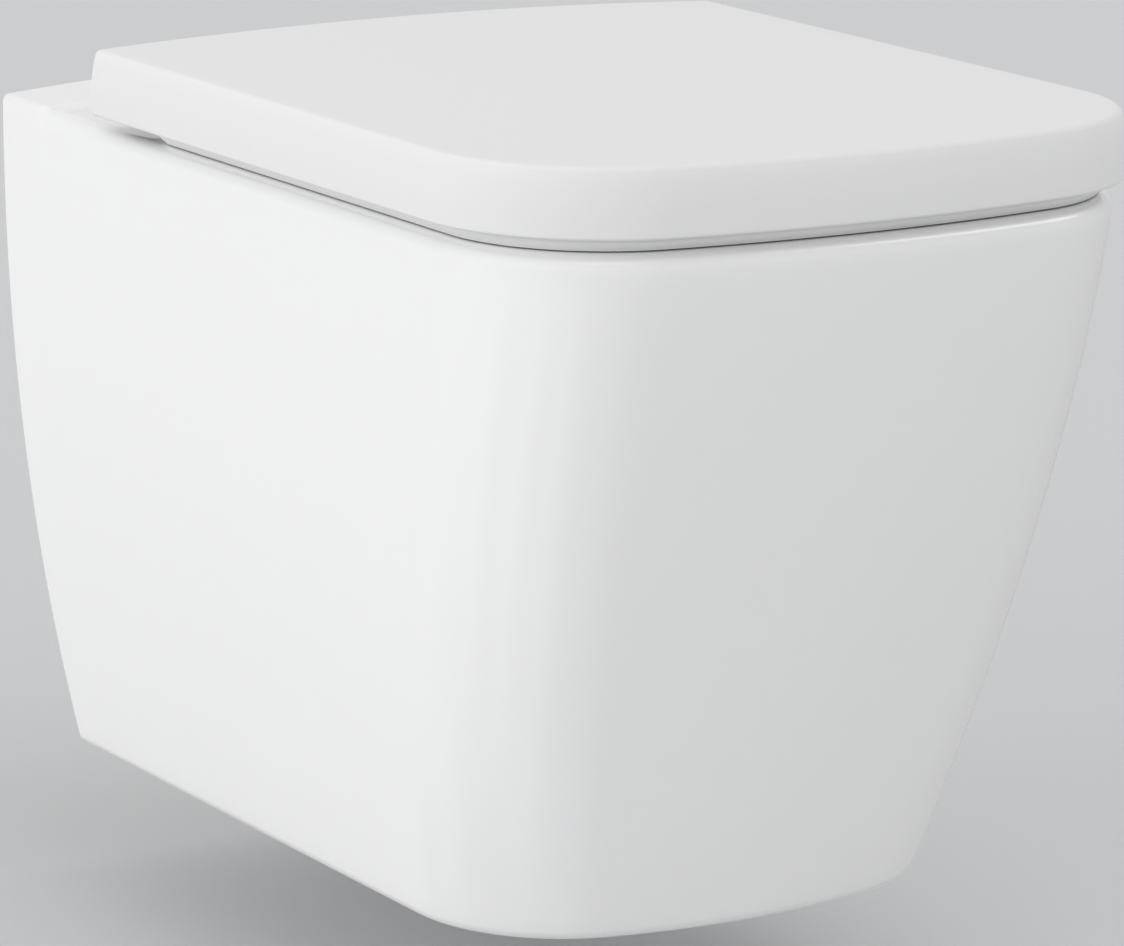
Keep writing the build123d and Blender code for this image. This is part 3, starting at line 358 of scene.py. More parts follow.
def glaze_material(looks):
    """Vitreous glaze: a clear coat over white clay, with a slow ripple that only reflections show."""
    made = bpy.data.materials.new("glazed_ceramic")
    tree = Tree(made)
    place = tree.node("TexCoord", output="Object")
    slow = tree.node("TexNoise", inputs={"Vector": place, "Scale": 14.0, "Detail": 1.5}, output="Fac")
    peel = tree.node("TexNoise", inputs={"Vector": place, "Scale": 150.0, "Detail": 2.0}, output="Fac")
    warm = tuple(part * tone for part, tone in zip(looks.glaze, (0.992, 0.99, 0.985))) + (1.0,)
    base = tree.node("Mix", {"data_type": "RGBA"}, {"Factor": slow, 6: tuple(looks.glaze) + (1.0,), 7: warm},
                     output=2)
    shader = tree.node("BsdfPrincipled", inputs={
        "Base Color": base,
        "Roughness": 0.34 + (slow - 0.5) * 0.06,
        "Coat Weight": 1.0,
        "Coat Roughness": looks.glaze_roughness,
        "Normal": tree.node("Bump", inputs={"Height": slow * 6.0 + peel * 0.25, "Strength": 0.5,
                                            "Distance": 0.03 * MM}),
    })
    tree.node("OutputMaterial", inputs={"Surface": shader})
    return made


class Form:
    """Mesh under construction, as loops of points and the faces between them."""

    def __init__(self):
        self.points = []
        self.faces = []

    def loop(self, points):
        start = len(self.points)
        self.points.extend(tuple(float(part) for part in point) for point in points)
        return list(range(start, len(self.points)))

    def bridge(self, first, second, closed=True):
        for step in range(len(first) if closed else len(first) - 1):
            after = (step + 1) % len(first)
            self.faces.append((first[step], first[after], second[after], second[step]))

    def skin(self, rings, caps=True):
        loops = [self.loop(ring) for ring in rings]
        for first, second in zip(loops, loops[1:]):
            self.bridge(first, second)
        if caps:
            self.faces.append(tuple(reversed(loops[0])))
            self.faces.append(tuple(loops[-1]))
        return loops

    def dome(self, rim, rings, tip):
        """Cover over a loop: smaller and smaller rings that end in one point."""
        last = rim
        for ring in rings:
            inner = self.loop(ring)
            self.bridge(last, inner)
            last = inner
        top = self.loop([tip])[0]
        for step, point in enumerate(last):
            self.faces.append((point, last[(step + 1) % len(last)], top))

    def mesh_object(self, name):
        mesh = bpy.data.meshes.new(name)
        mesh.from_pydata(self.points, [], self.faces)
        shape = bmesh.new()
        shape.from_mesh(mesh)
        bmesh.ops.recalc_face_normals(shape, faces=shape.faces)
        shape.to_mesh(mesh)
        shape.free()
        made = bpy.data.objects.new(name, mesh)
        bpy.context.scene.collection.objects.link(made)
        return made


def arc(centre, radius, start, end, count):
    """Points along an arc in a plane, both ends included."""
    turn = np.linspace(start, end, count)
    return np.column_stack([centre[0] + radius * np.cos(turn), centre[1] + radius * np.sin(turn)])


def mix(first, last, part):
    return first + (last - first) * part


def d_outline(half_width, front, corner_r, bow_r, back=0.0, back_r=0.0, rows=()):
    """D outline seen from above, from the middle of the back over the right side and the front to the left."""
    side_x = half_width - corner_r
    bow_y = bow_r - front
    corner_y = bow_y - sqrt((bow_r - corner_r) ** 2 - side_x**2)
    turn = atan2(corner_y - bow_y, side_x)
    side_top = -back - back_r
    rear = np.column_stack([np.linspace(0, half_width - back_r, BACK_STEPS + 1), np.full(BACK_STEPS + 1, -back)])
    runs = [rear]
    if back_r > 0:
        runs.append(arc((half_width - back_r, side_top), back_r, pi / 2, 0, ROUND_STEPS)[1:])
    rows = np.asarray(rows, float)
    last_row = rows[-1] if len(rows) else side_top
    sides = np.concatenate([rows, np.linspace(last_row, corner_y, SIDE_STEPS + 1)[1:]])
    runs.append(np.column_stack([np.full(len(sides), half_width), sides]))
    runs.append(arc((side_x, corner_y), corner_r, 0, turn, CORNER_STEPS)[1:])
    runs.append(arc((0, bow_y), bow_r, turn, -pi / 2, BOW_STEPS)[1:])
    half = np.concatenate(runs)
    left = half[-2:0:-1] * (-1, 1)
    return np.concatenate([half, left])


def at_height(outline, z):
    """Outline in space at one height, or at a height for each point."""
    return np.column_stack([outline, np.broadcast_to(z, len(outline))])


def quarter(steps=ROUND_STEPS):
    """Share of the radius that a rounding has drawn in and risen, from its foot to its top."""
    return [(1 - cos(turn), sin(turn)) for turn in np.linspace(0, pi / 2, steps)]


def pan_outline(sizes, z, inset=0.0, back=0.0, rows=()):
    """Outline of the pan at height z, or one inside it by the inset. Above the rim band it is upright."""
    band_z = sizes.deck_z - sizes.rim_drop - sizes.rim_edge_r - sizes.rim_band
    drop = (sizes.deck_z - min(z, band_z)) / sizes.height
    narrowing = sizes.narrowing * drop**2.13
    recess = sizes.recess * drop**1.17
    return d_outline(sizes.half_width - narrowing - inset, sizes.front - recess - inset,
                     mix(sizes.corner_r, sizes.base_corner_r, drop) - inset,
                     mix(sizes.bow_r, sizes.base_bow_r, drop) - inset, back, 0.0, rows)


def soft_limit(first, second, reach, sign):
    """Smaller of two heights for sign 1, the larger for -1, rounded where they meet."""
    near = np.maximum(reach - np.abs(first - second), 0) / reach
    pick = np.minimum(first, second) if sign > 0 else np.maximum(first, second)
    return pick - sign * near**2 * reach / 4


def deck_height(sizes, x, y):
    """Height of the deck: the flat rim plane, and the crowned ledge behind it."""
    rim_z = sizes.deck_z - sizes.rim_drop
    crown = sizes.deck_z + sizes.crown * (1 - (x / sizes.half_width) ** 2)
    corner = sizes.ledge_corner_r
    across = np.abs(x) - (sizes.half_width + sizes.base_edge_r - corner)
    along = -y - (sizes.ledge_front - corner)
    outside = np.hypot(np.maximum(across, 0), np.maximum(along, 0)) + np.minimum(np.maximum(across, along), 0)
    slope = rim_z + (corner - outside) / tan(radians(30))
    ledge = soft_limit(crown, slope, 4 * MM, 1)
    return soft_limit(ledge, np.full_like(ledge, rim_z), 1.5 * MM, -1)


def pan_body(sizes):
    """Outside of the pan as a closed solid: base, skirt, rounded rim, deck and ledge."""
    rows = np.concatenate([np.arange(0, 34, 4), np.arange(34, 68, 1.0)]) * -MM
    rim_z = sizes.deck_z - sizes.rim_drop
    base_z = sizes.deck_z - sizes.height
    count = len(d_outline(0.2, 0.5, 0.1, 0.7, rows=rows))
    right = BACK_STEPS + np.arange(len(rows))
    left = (count - right) % count
    rings = []
    for drawn, risen in quarter():
        inset = sizes.base_edge_r * (1 - risen)
        z = base_z + sizes.base_edge_r * drawn
        rings.append(at_height(pan_outline(sizes, z, inset, rows=rows), z))
    foot_z = rim_z - sizes.rim_edge_r
    for z in np.linspace(base_z + sizes.base_edge_r, foot_z - 4 * MM, 48)[1:]:
        rings.append(at_height(pan_outline(sizes, z, rows=rows), z))
    side_x = sizes.half_width - sizes.ledge_edge_r
    top_z = deck_height(sizes, np.full(len(rows), side_x), rows)
    raised = np.clip((top_z - rim_z) / sizes.rim_drop, 0, 1)
    edge_r = mix(sizes.rim_edge_r, sizes.ledge_edge_r, raised * raised * (3 - 2 * raised))
    for drawn, risen in quarter():
        z = rim_z - sizes.rim_edge_r * (1 - risen)
        ring = at_height(pan_outline(sizes, z, sizes.rim_edge_r * drawn, rows=rows), z)
        row_z = top_z - edge_r * (1 - risen)
        row_x = sizes.half_width - edge_r * drawn
        for places, side in ((right, 1), (left, -1)):
            ring[places, 0] = side * row_x
            ring[places, 2] = row_z
        back = np.arange(-BACK_STEPS, BACK_STEPS + 1) % count
        ring[back, 0] = np.linspace(-row_x[0], row_x[0], len(back))
        rise = deck_height(sizes, ring[back, 0], np.zeros(len(back))) - top_z[0]
        ring[back, 2] = row_z[0] + rise * risen
        rings.append(ring)
    form = Form()
    loops = form.skin(rings, caps=False)
    form.faces.append(tuple(reversed(loops[0])))
    rim = loops[-1]
    edge = rings[-1]
    line = [rim[step] for step in np.arange(-BACK_STEPS, BACK_STEPS + 1)]
    for row in range(1, len(rows)):
        inner = np.linspace(edge[left[row]], edge[right[row]], len(line))[1:-1]
        inner[:, 2] = deck_height(sizes, inner[:, 0], inner[:, 1])
        after = [rim[left[row]]] + form.loop(inner) + [rim[right[row]]]
        form.bridge(line, after, closed=False)
        line = after
    front = [rim[step] for step in range(right[-1], left[-1] + 1)]
    border = front + line[1:-1]
    centre = np.array([0, -0.3, rim_z])
    support = [mix(np.array(form.points[point]), centre, 0.01) for point in border]
    inner = form.loop(support)
    form.bridge(border, inner)
    form.faces.append(tuple(inner))
    return form.mesh_object("pan_body")


def bowl_outline(sizes, z, wall=0.0):
    """Outline of the bowl's inside at height z, or of its outside where a wall is given."""
    rim_z = sizes.deck_z - sizes.rim_drop
    depth = min((rim_z - min(z, rim_z - sizes.deck_thickness)) / (rim_z + sizes.sump_z), 1)
    side = depth**1.6
    end = depth**1.5
    return d_outline(mix(sizes.half_width - sizes.rim_width, 0.038, side) + wall,
                     mix(sizes.front - sizes.rim_width, 0.312, end) + wall,
                     mix(0.110, 0.034, side) + wall, mix(0.400, 0.060, side) + wall,
                     mix(sizes.bowl_back, 0.232, end) - wall, mix(0.060, 0.030, side) + wall)


def bowl_solid(sizes, wall=0.0):
    """Solid that fills the bowl, with its rounded floor and mouth, or its outside where a wall is given."""
    rim_z = sizes.deck_z - sizes.rim_drop
    floor_z = -sizes.sump_z - wall
    floor_r = 0.022 + wall
    top_z = rim_z - sizes.deck_thickness + MM if wall else rim_z - sizes.mouth_edge_r
    rings = []
    for drawn, risen in quarter(14):
        z = floor_z + floor_r * drawn
        rings.append(at_height(bowl_outline(sizes, z, wall - floor_r * (1 - risen)), z))
    for z in np.linspace(floor_z + floor_r, top_z, 44)[1:]:
        rings.append(at_height(bowl_outline(sizes, z, wall), z))
    if not wall:
        for drawn, risen in quarter()[1:]:
            z = top_z + sizes.mouth_edge_r * risen + 0.01 * MM * risen
            rings.append(at_height(bowl_outline(sizes, z, sizes.mouth_edge_r * drawn), z))
        rings.append(at_height(bowl_outline(sizes, rim_z, sizes.mouth_edge_r), rim_z + 20 * MM))
    form = Form()
    form.skin(rings)
    return form.mesh_object("bowl")


def cavity_solid(sizes):
    """Hollow behind the skirt, without the plate at the wall."""
    floor_z = sizes.deck_z - sizes.height + sizes.wall
    top_z = sizes.deck_z - sizes.rim_drop - sizes.deck_thickness
    form = Form()
    form.skin([at_height(pan_outline(sizes, z, sizes.wall, back=-2 * MM), z)
               for z in np.linspace(floor_z, top_z, 30)])
    made = form.mesh_object("cavity")
    reach = sizes.front
    plate = slab((-reach, -sizes.back_plate, -sizes.back_plate_drop), (reach, 0.01, reach))
    return carve(made, [("DIFFERENCE", plate)])


def slab(low, high):
    """Block between two corners."""
    form = Form()
    ring = [(low[0], low[1]), (high[0], low[1]), (high[0], high[1]), (low[0], high[1])]
    form.skin([[(x, y, z) for x, y in ring] for z in (low[2], high[2])])
    return form.mesh_object("slab")


def bar(start, end, radius, end_radius=None, sides=TURN_STEPS):
    """Round bar between two points, or a cone where end_radius is given."""
    radii = (radius, radius if end_radius is None else end_radius)
    return turned((start, end), radii, sides)


def turned(places, radii, sides=TURN_STEPS):
    """Round solid on a straight line of places, with a radius at each."""
    places = [Vector(place) for place in places]
    turn = (places[-1] - places[0]).to_track_quat("Z", "Y")
    form = Form()
    rings = []
    for place, radius in zip(places, radii):
        circle = arc((0, 0), radius, 0, 2 * pi, sides + 1)[:-1]
        rings.append([place + turn @ Vector((x, y, 0)) for x, y in circle])
    form.skin(rings)
    return form.mesh_object("turned")


def threaded(start, end, radius, pitch, sides=30):
    """Rod with a screw thread between two points."""
    start, end = Vector(start), Vector(end)
    run = (end - start).length
    turn = (end - start).to_track_quat("Z", "Y")
    depth = 0.3 * pitch
    angles = np.linspace(0, 2 * pi, sides + 1)[:-1]
    form = Form()
    rings = []
    for z in np.linspace(0, run, max(round(run / pitch * 6), 2)):
        runout = min(z, run - z) / pitch
        wave = 0.5 + 0.5 * np.cos(2 * pi * z / pitch - angles)
        ring = radius - depth * np.maximum(wave, 1 - min(runout, 1))
        rings.append([start + turn @ Vector((r * cos(angle), r * sin(angle), z)) for r, angle in zip(ring, angles)])
    form.skin(rings)
    return form.mesh_object("threaded")


def joined(pieces):
    """One object that holds the meshes of all the pieces."""
    first = pieces[0]
    shape = bmesh.new()
    for piece in pieces:
        shape.from_mesh(piece.data)
    shape.to_mesh(first.data)
    shape.free()
    for piece in pieces[1:]:
        bpy.data.objects.remove(piece)
    return first


def rounded_path(points, radii, steps=16):
    """Points along straight runs in the plane x = 0, joined by arcs."""
    points = [Vector(point) for point in points]
    path = [points[0]]
    for before, corner, after, radius in zip(points, points[1:], points[2:], radii):
        first = (before - corner).normalized()
        second = (after - corner).normalized()
        half = first.angle(second) / 2
        middle = corner + (first + second).normalized() * radius / sin(half)
        start = corner + first * radius / tan(half) - middle
        end = corner + second * radius / tan(half) - middle
        for step in range(steps + 1):
            path.append(middle + start.slerp(end, step / steps) * radius)
    path.append(points[-1])
    return path


def tube(path, radius):
    """Round solid along a path in the plane x = 0."""
    form = Form()
    rings = []
    for step, place in enumerate(path):
        ahead = path[min(step + 1, len(path) - 1)] - path[max(step - 1, 0)]
        up = Vector((0, -ahead.z, ahead.y)).normalized()
        circle = arc((0, 0), radius, 0, 2 * pi, TURN_STEPS + 1)[:-1]
        rings.append([place + Vector((x, 0, 0)) + up * y for x, y in circle])
    form.skin(rings)
    return form.mesh_object("tube")


def slot_solid(width, height, z, back, front):
    """Solid with a rounded slot outline that runs along Y."""
    radius = height / 2
    side = width / 2 - radius
    outline = np.concatenate([arc((side, z), radius, -pi / 2, pi / 2, 20),
                              arc((-side, z), radius, pi / 2, 3 * pi / 2, 20)])
    form = Form()
    form.skin([[(x, y, height_) for x, height_ in outline] for y in (back, front)])
    return form.mesh_object("slot")


def bare(tool):
    """Marks what a solid adds or uncovers as the casting's second finish."""
    tool.data.polygons.foreach_set("material_index", [1] * len(tool.data.polygons))
    return tool


def carve(base, steps):
    """Adds and cuts solids in order, and leaves one mesh."""
    for operation, tool in steps:
        for finish in base.data.materials:
            tool.data.materials.append(finish)
        modifier = base.modifiers.new(operation.lower(), "BOOLEAN")
        modifier.operation = operation
        modifier.solver = "MANIFOLD"
        modifier.object = tool
    bpy.context.view_layer.update()
    graph = bpy.context.evaluated_depsgraph_get()
    mesh = bpy.data.meshes.new_from_object(base.evaluated_get(graph))
    base.modifiers.clear()
    base.data = mesh
    for _, tool in steps:
        bpy.data.objects.remove(tool)
    return base


def smooth(piece):
    """Smooth faces, with every real edge kept sharp."""
    piece.data.shade_smooth()
    piece.data.set_sharp_from_angle(angle=SMOOTH_ANGLE)
    return piece


def settle(piece, name, slot, body, *nodes):
    """Names a finished piece, gives it its finish and its body, and lets it stand for its nodes."""
    piece.name = name
    piece.data.name = name
    if not piece.data.materials:
        piece.data.materials.append(finish_of(slot))
    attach(smooth(piece), body)
    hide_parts(*nodes)
    return piece


def pan_piece(sizes, hinges):
    """The whole casting: outside, hollow, bowl, trap, inlet and outlet."""
    outlet_z, outlet_r, outlet_bore = -0.100, 0.051, 0.042
    spigot_back, spigot_front = -0.012, -0.062
    cone_front = spigot_front - 0.030
    inlet_z, inlet_r, inlet_wall, inlet_depth = 0.035, 0.0275, 0.0095, 0.045
    channel_r, channel_wall = 0.024, 0.008
    slot_y, jet_z = -sizes.bowl_back + 0.034, 0.050
    path = rounded_path([(0, -0.276, -0.184), (0, -0.232, -0.212), (0, -0.150, -0.078),
                         (0, cone_front - 0.010, outlet_z), (0, cone_front, outlet_z)], (0.046, 0.048, 0.040))
    outer_r = sizes.trap_r + sizes.trap_wall

    def jet(wall):
        back = slot_y + channel_r + wall
        front = -(sizes.bowl_back + sizes.bowl_wall) + wall
        return slot_solid(0.080 + 2 * wall, 0.019 + 2 * wall, jet_z, back, front)

    def channel(wall):
        return bar((0, -inlet_depth + wall, inlet_z), (0, slot_y - wall, inlet_z), channel_r + wall)

    rim_z = sizes.deck_z - sizes.rim_drop
    boss = inlet_r + inlet_wall
    boss_depth = inlet_depth + channel_wall
    outside = [
        ("DIFFERENCE", cavity_solid(sizes)),
        ("DIFFERENCE", bar((0, 0.01, outlet_z), (0, -sizes.back_plate - 0.001, outlet_z), outlet_r + 0.012)),
        ("UNION", bowl_solid(sizes, sizes.bowl_wall)),
        ("UNION", tube(path, outer_r)),
        ("UNION", bar((0, cone_front, outlet_z), (0, spigot_front, outlet_z), outer_r, outlet_r)),
        ("UNION", turned([(0, y, outlet_z) for y in (spigot_front, spigot_back - 0.002, spigot_back)],
                         (outlet_r, outlet_r, outlet_r - 0.002))),
        ("UNION", slab((-0.008, spigot_front - 0.024, outlet_z + sizes.trap_r), (0.008, spigot_front, 0.012))),
        ("UNION", slab((-boss, -boss_depth, inlet_z), (boss, -0.0005, rim_z - sizes.deck_thickness + MM))),
        ("UNION", bar((0, -0.0005, inlet_z), (0, -boss_depth, inlet_z), boss)),
        ("UNION", channel(channel_wall)),
        ("UNION", jet(channel_wall)),
    ]
    inside = [
        ("DIFFERENCE", bowl_solid(sizes)),
        ("DIFFERENCE", tube(path, sizes.trap_r)),
        ("DIFFERENCE", bar((0, cone_front, outlet_z), (0, spigot_front, outlet_z), sizes.trap_r, outlet_bore)),
        ("DIFFERENCE", bar((0, spigot_front, outlet_z), (0, 0.01, outlet_z), outlet_bore)),
        ("DIFFERENCE", channel(0.0)),
        ("DIFFERENCE", jet(0.0)),
        ("DIFFERENCE", turned([(0, y, inlet_z) for y in (-inlet_depth, -0.002, 0.0, 0.01)],
                              (inlet_r, inlet_r, inlet_r + 0.002, inlet_r + 0.002))),
    ]
    for _, side in HINGE_SIDES:
        bolt = side * 0.090
        outside.append(("DIFFERENCE", bar((bolt, 0.01, 0), (bolt, -sizes.back_plate - 0.001, 0), 0.0102)))
        place = side * hinges.spacing / 2
        inside.append(("DIFFERENCE", turned(
            [(place, -hinges.fixing_y, z) for z in (rim_z - 0.03, rim_z - 0.001, rim_z, rim_z + 0.001)],
            (0.007, 0.007, 0.008, 0.008))))
    piece = pan_body(sizes)
    for slot in ("ceramic", "bisque"):
        piece.data.materials.append(finish_of(slot))
    for face in piece.data.polygons:
        face.material_index = int(face.normal.y > 0.9)
    return carve(piece, [(operation, bare(tool)) for operation, tool in outside] + inside)


def lid_lean(sizes, z):
    """How far the lid's edge draws in at a height."""
    return sizes.lean * (max(z - sizes.widest_z, 0) / (sizes.edge_z - sizes.widest_z)) ** 2


def lid_outline(sizes, z, inset=0.0):
    """Outline of the lid at height z."""
    total = inset + lid_lean(sizes, z)
    return d_outline(sizes.half_width - total, sizes.front - total, sizes.corner_r - total, sizes.bow_r - total,
                     sizes.back + inset, max(sizes.back_r - inset, 0.6 * MM))


def lid_top(sizes, x, y):
    """Height of the lid's crowned top, highest at the back and flat at the front edge."""
    along = np.clip((-y - sizes.back) / (sizes.front - sizes.back), 0, 1)
    rise = np.maximum(sizes.crown * (1 - along**2.15), sizes.crown / 100)
    return sizes.edge_z + rise * (1 - (x / sizes.half_width) ** 2)


def crowned(sizes, rings, drop, radius):
    """Closes rings with a rounded edge and a crowned cover that lies the drop below the lid's top."""
    form = Form()
    steps = quarter()
    inner = lid_outline(sizes, sizes.edge_z, radius + drop)
    top = lid_top(sizes, inner[:, 0], inner[:, 1]) - drop
    for drawn, risen in steps:
        z = top - radius * (1 - risen)
        outline = lid_outline(sizes, sizes.edge_z - radius * (1 - risen) * 0.6, drop + radius * drawn)
        rings.append(np.column_stack([outline, z]))
    loops = form.skin(rings, caps=False)
    form.faces.append(tuple(reversed(loops[0])))
    last = rings[-1]
    centre = np.array([0, -(sizes.front + sizes.back) / 2])
    covers = []
    for part in np.linspace(1, 0, 26)[1:-1]:
        plan = centre + (last[:, :2] - centre) * part
        covers.append(np.column_stack([plan, lid_top(sizes, plan[:, 0], plan[:, 1]) - drop]))
    tip = (centre[0], centre[1], float(lid_top(sizes, np.array(centre[0]), np.array(centre[1]))) - drop)
    form.dome(loops[-1], covers, tip)
    return form.mesh_object("crowned")


def lid_shell(sizes, drop=0.0):
    """Outside of the lid as a solid, or its hollow where a drop is given."""
    rings = []
    if drop:
        low = sizes.bottom_z - MM
        rings.append(at_height(lid_outline(sizes, sizes.bottom_z, drop - 1.2 * MM), low))
        rings.append(at_height(lid_outline(sizes, sizes.bottom_z, drop - 1.2 * MM), sizes.bottom_z))
        rings.append(at_height(lid_outline(sizes, sizes.bottom_z, drop - 0.4 * MM), sizes.bottom_z + 0.5 * MM))
        start = sizes.bottom_z + 1.5 * MM
    else:
        for drawn, risen in quarter():
            z = sizes.bottom_z + sizes.bottom_edge_r * drawn
            rings.append(at_height(lid_outline(sizes, z, sizes.bottom_edge_r * (1 - risen)), z))
        start = sizes.bottom_z + sizes.bottom_edge_r
    radius = 7 * MM if drop else sizes.top_edge_r
    end = sizes.edge_z - drop - radius - 0.5 * MM
    for z in np.linspace(start, end, 12)[0 if drop else 1:]:
        rings.append(at_height(lid_outline(sizes, z, drop), z))
    return crowned(sizes, rings, drop, radius)


def along_axis(hinges, side, outward, start, end, radius, end_radius=None):
    """Round bar on the hinge axis, between two distances out of one face of a post."""
    step = side if outward else -side
    face = side * (hinges.spacing / 2 + (hinges.post_width / 2 if outward else -hinges.post_width / 2))
    ends = [(face + step * reach, -hinges.axis_y, hinges.axis_z) for reach in (start, end)]
    return bar(ends[0], ends[1], radius, end_radius, sides=48)


def knuckle(hinges, side, outward):
    """Barrel round the hinge axis, with softened ends."""
    low, high, edge = 0.4 * MM, 22.0 * MM, 0.5 * MM
    step = side if outward else -side
    face = side * (hinges.spacing / 2 + (hinges.post_width / 2 if outward else -hinges.post_width / 2))
    places = [(face + step * reach, -hinges.axis_y, hinges.axis_z) for reach in (low, low + edge, high - edge, high)]
    radius = hinges.barrel_r
    return turned(places, (radius - edge, radius, radius, radius - edge), 48)


def lid_piece(sizes, hinges):
    """Lid with its hollow, the slots for the hinge posts and the knuckles under it."""
    slot_half = hinges.post_width / 2 + 2 * MM
    steps = [("DIFFERENCE", lid_shell(sizes, sizes.wall))]
    for _, side in HINGE_SIDES:
        middle = side * hinges.spacing / 2
        steps.append(("DIFFERENCE", slab(
            (middle - slot_half, -sizes.back - sizes.wall - 2 * MM, sizes.bottom_z - MM),
            (middle + slot_half, -sizes.back + MM, sizes.edge_z - sizes.wall))))
        face = side * (hinges.spacing / 2 + hinges.post_width / 2)
        reach = sorted((face + side * 0.4 * MM, face + side * 22 * MM))
        steps.append(("UNION", slab((reach[0], -hinges.axis_y - hinges.barrel_r, hinges.axis_z),
                                    (reach[1], -hinges.axis_y + hinges.barrel_r, sizes.edge_z - 2 * MM))))
        steps.append(("UNION", knuckle(hinges, side, True)))
        radius = 6.55 * MM if side > 0 else 5.05 * MM
        steps.append(("DIFFERENCE", along_axis(hinges, side, True, -0.001, 20.4 * MM, radius)))
    return carve(lid_shell(sizes), steps)


def seat_outline(lid, sizes, z, inset=0.0):
    """Outer outline of the seat at height z, inside the lid's edge."""
    draft = sizes.draft * (z - sizes.bottom_z) / (sizes.top_z - sizes.bottom_z)
    total = inset + sizes.margin + draft
    return d_outline(lid.half_width - total, lid.front - total, lid.corner_r - total, lid.bow_r - total,
                     sizes.back + inset + draft, max(sizes.back_r - inset - draft, 2 * MM))


def hole_outline(sizes, z, grow=0.0):
    """Outline of the seat's opening at height z."""
    grow += sizes.draft * (sizes.top_z - z) / (sizes.top_z - sizes.bottom_z)
    return d_outline(sizes.hole_half_width + grow, sizes.hole_front + grow, 0.096 + grow, 0.240 + grow,
                     sizes.hole_back - grow, 0.070 + grow)


def seat_buffer_places(lid, sizes):
    """Where the seat's buffers stand on the rim, two on each side."""
    side_x = lid.half_width - sizes.margin - sizes.buffer_inset
    rows = (-(sizes.back + sizes.buffer_rear), -(lid.front - sizes.buffer_front))
    return [(side * side_x, y) for side in (1, -1) for y in rows]


def seat_piece(lid, sizes, hinges):
    """Ring seat with rounded edges, hollow underneath, with its arms and knuckles."""
    low, high = sizes.bottom_z, sizes.top_z
    lip_z = low - sizes.lip
    edge = 0.5 * MM
    outer = []
    for drawn, risen in quarter(5):
        z = lip_z + edge * drawn
        outer.append(at_height(seat_outline(lid, sizes, z, sizes.undercut + edge * (1 - risen)), z))
    for part in np.linspace(0, 1, 7)[1:]:
        z = mix(lip_z + edge, low, part)
        outer.append(at_height(seat_outline(lid, sizes, z, sizes.undercut * (1 - part) ** 1.5), z))
    for z in np.linspace(low, high - sizes.edge_r, 6)[1:-1]:
        outer.append(at_height(seat_outline(lid, sizes, z), z))
    for drawn, risen in quarter(12):
        z = high - sizes.edge_r * (1 - risen)
        outer.append(at_height(seat_outline(lid, sizes, z, sizes.edge_r * drawn), z))
    form = Form()
    form.skin(outer)
    ring = form.mesh_object("seat")

    opening = [at_height(hole_outline(sizes, low), lip_z - 5 * MM)]
    for z in np.linspace(low, high - sizes.edge_r, 6):
        opening.append(at_height(hole_outline(sizes, z), z))
    for drawn, risen in quarter(12)[1:]:
        z = high - sizes.edge_r * (1 - risen) + 0.01 * MM * risen
        opening.append(at_height(hole_outline(sizes, z, sizes.edge_r * drawn), z))
    opening.append(at_height(hole_outline(sizes, high, sizes.edge_r), high + 5 * MM))
    form = Form()
    form.skin(opening)
    hole = form.mesh_object("hole")

    ceiling = high - sizes.top_wall
    form = Form()
    form.skin([at_height(seat_outline(lid, sizes, z, sizes.wall), z) for z in (low - MM, ceiling)])
    hollow = form.mesh_object("hollow")
    form = Form()
    form.skin([at_height(hole_outline(sizes, z, sizes.wall), z) for z in (low - 2 * MM, ceiling + MM)])
    cuts = [("DIFFERENCE", form.mesh_object("core"))]
    form = Form()
    form.skin([at_height(seat_outline(lid, sizes, z, sizes.wall), z) for z in (lip_z - MM, low)])
    underside = form.mesh_object("underside")
    places = seat_buffer_places(lid, sizes)
    cuts += [("DIFFERENCE", bar((x, y, low - 3 * MM), (x, y, high), sizes.boss_r)) for x, y in places]
    steps = [("DIFFERENCE", hole), ("DIFFERENCE", underside), ("DIFFERENCE", carve(hollow, cuts))]
    for _, side in HINGE_SIDES:
        face = side * (hinges.spacing / 2 - hinges.post_width / 2)
        reach = sorted((face - side * 0.4 * MM, face - side * 22 * MM))
        steps.append(("UNION", slab((reach[0], -sizes.back - sizes.wall, hinges.axis_z - 4 * MM),
                                    (reach[1], -hinges.axis_y, hinges.axis_z + 3 * MM))))
        steps.append(("UNION", knuckle(hinges, side, False)))
        radius = 6.55 * MM if side < 0 else 5.05 * MM
        steps.append(("DIFFERENCE", along_axis(hinges, side, False, -0.001, 20.4 * MM, radius)))
    steps += [("DIFFERENCE", bar((x, y, low - MM), (x, y, low + 9 * MM), 0.003)) for x, y in places]
    return carve(ring, steps)


def clamp_screw_piece(pan, hinges, sizes):
    """Two threaded clamp screws that lean at 45 degrees from the seat's holes to the back plate."""
    fall = pan.deck_z - pan.rim_drop - hinges.fixing_y
    end_y = -pan.back_plate - sizes.grub_standoff
    screws = []
    for _, side in HINGE_SIDES:
        end = Vector((side * hinges.spacing / 2, end_y, fall - end_y))
        lean = Vector((0, -1, 1)).normalized()
        start = end + lean * sizes.grub_length
        screw = threaded(end, start, sizes.grub_r, sizes.grub_pitch)
        socket = bar(start - lean * 2 * sizes.grub_socket_r, start + lean * MM, sizes.grub_socket_r, sides=6)
        screws.append(carve(screw, [("DIFFERENCE", socket)]))
    return joined(screws)


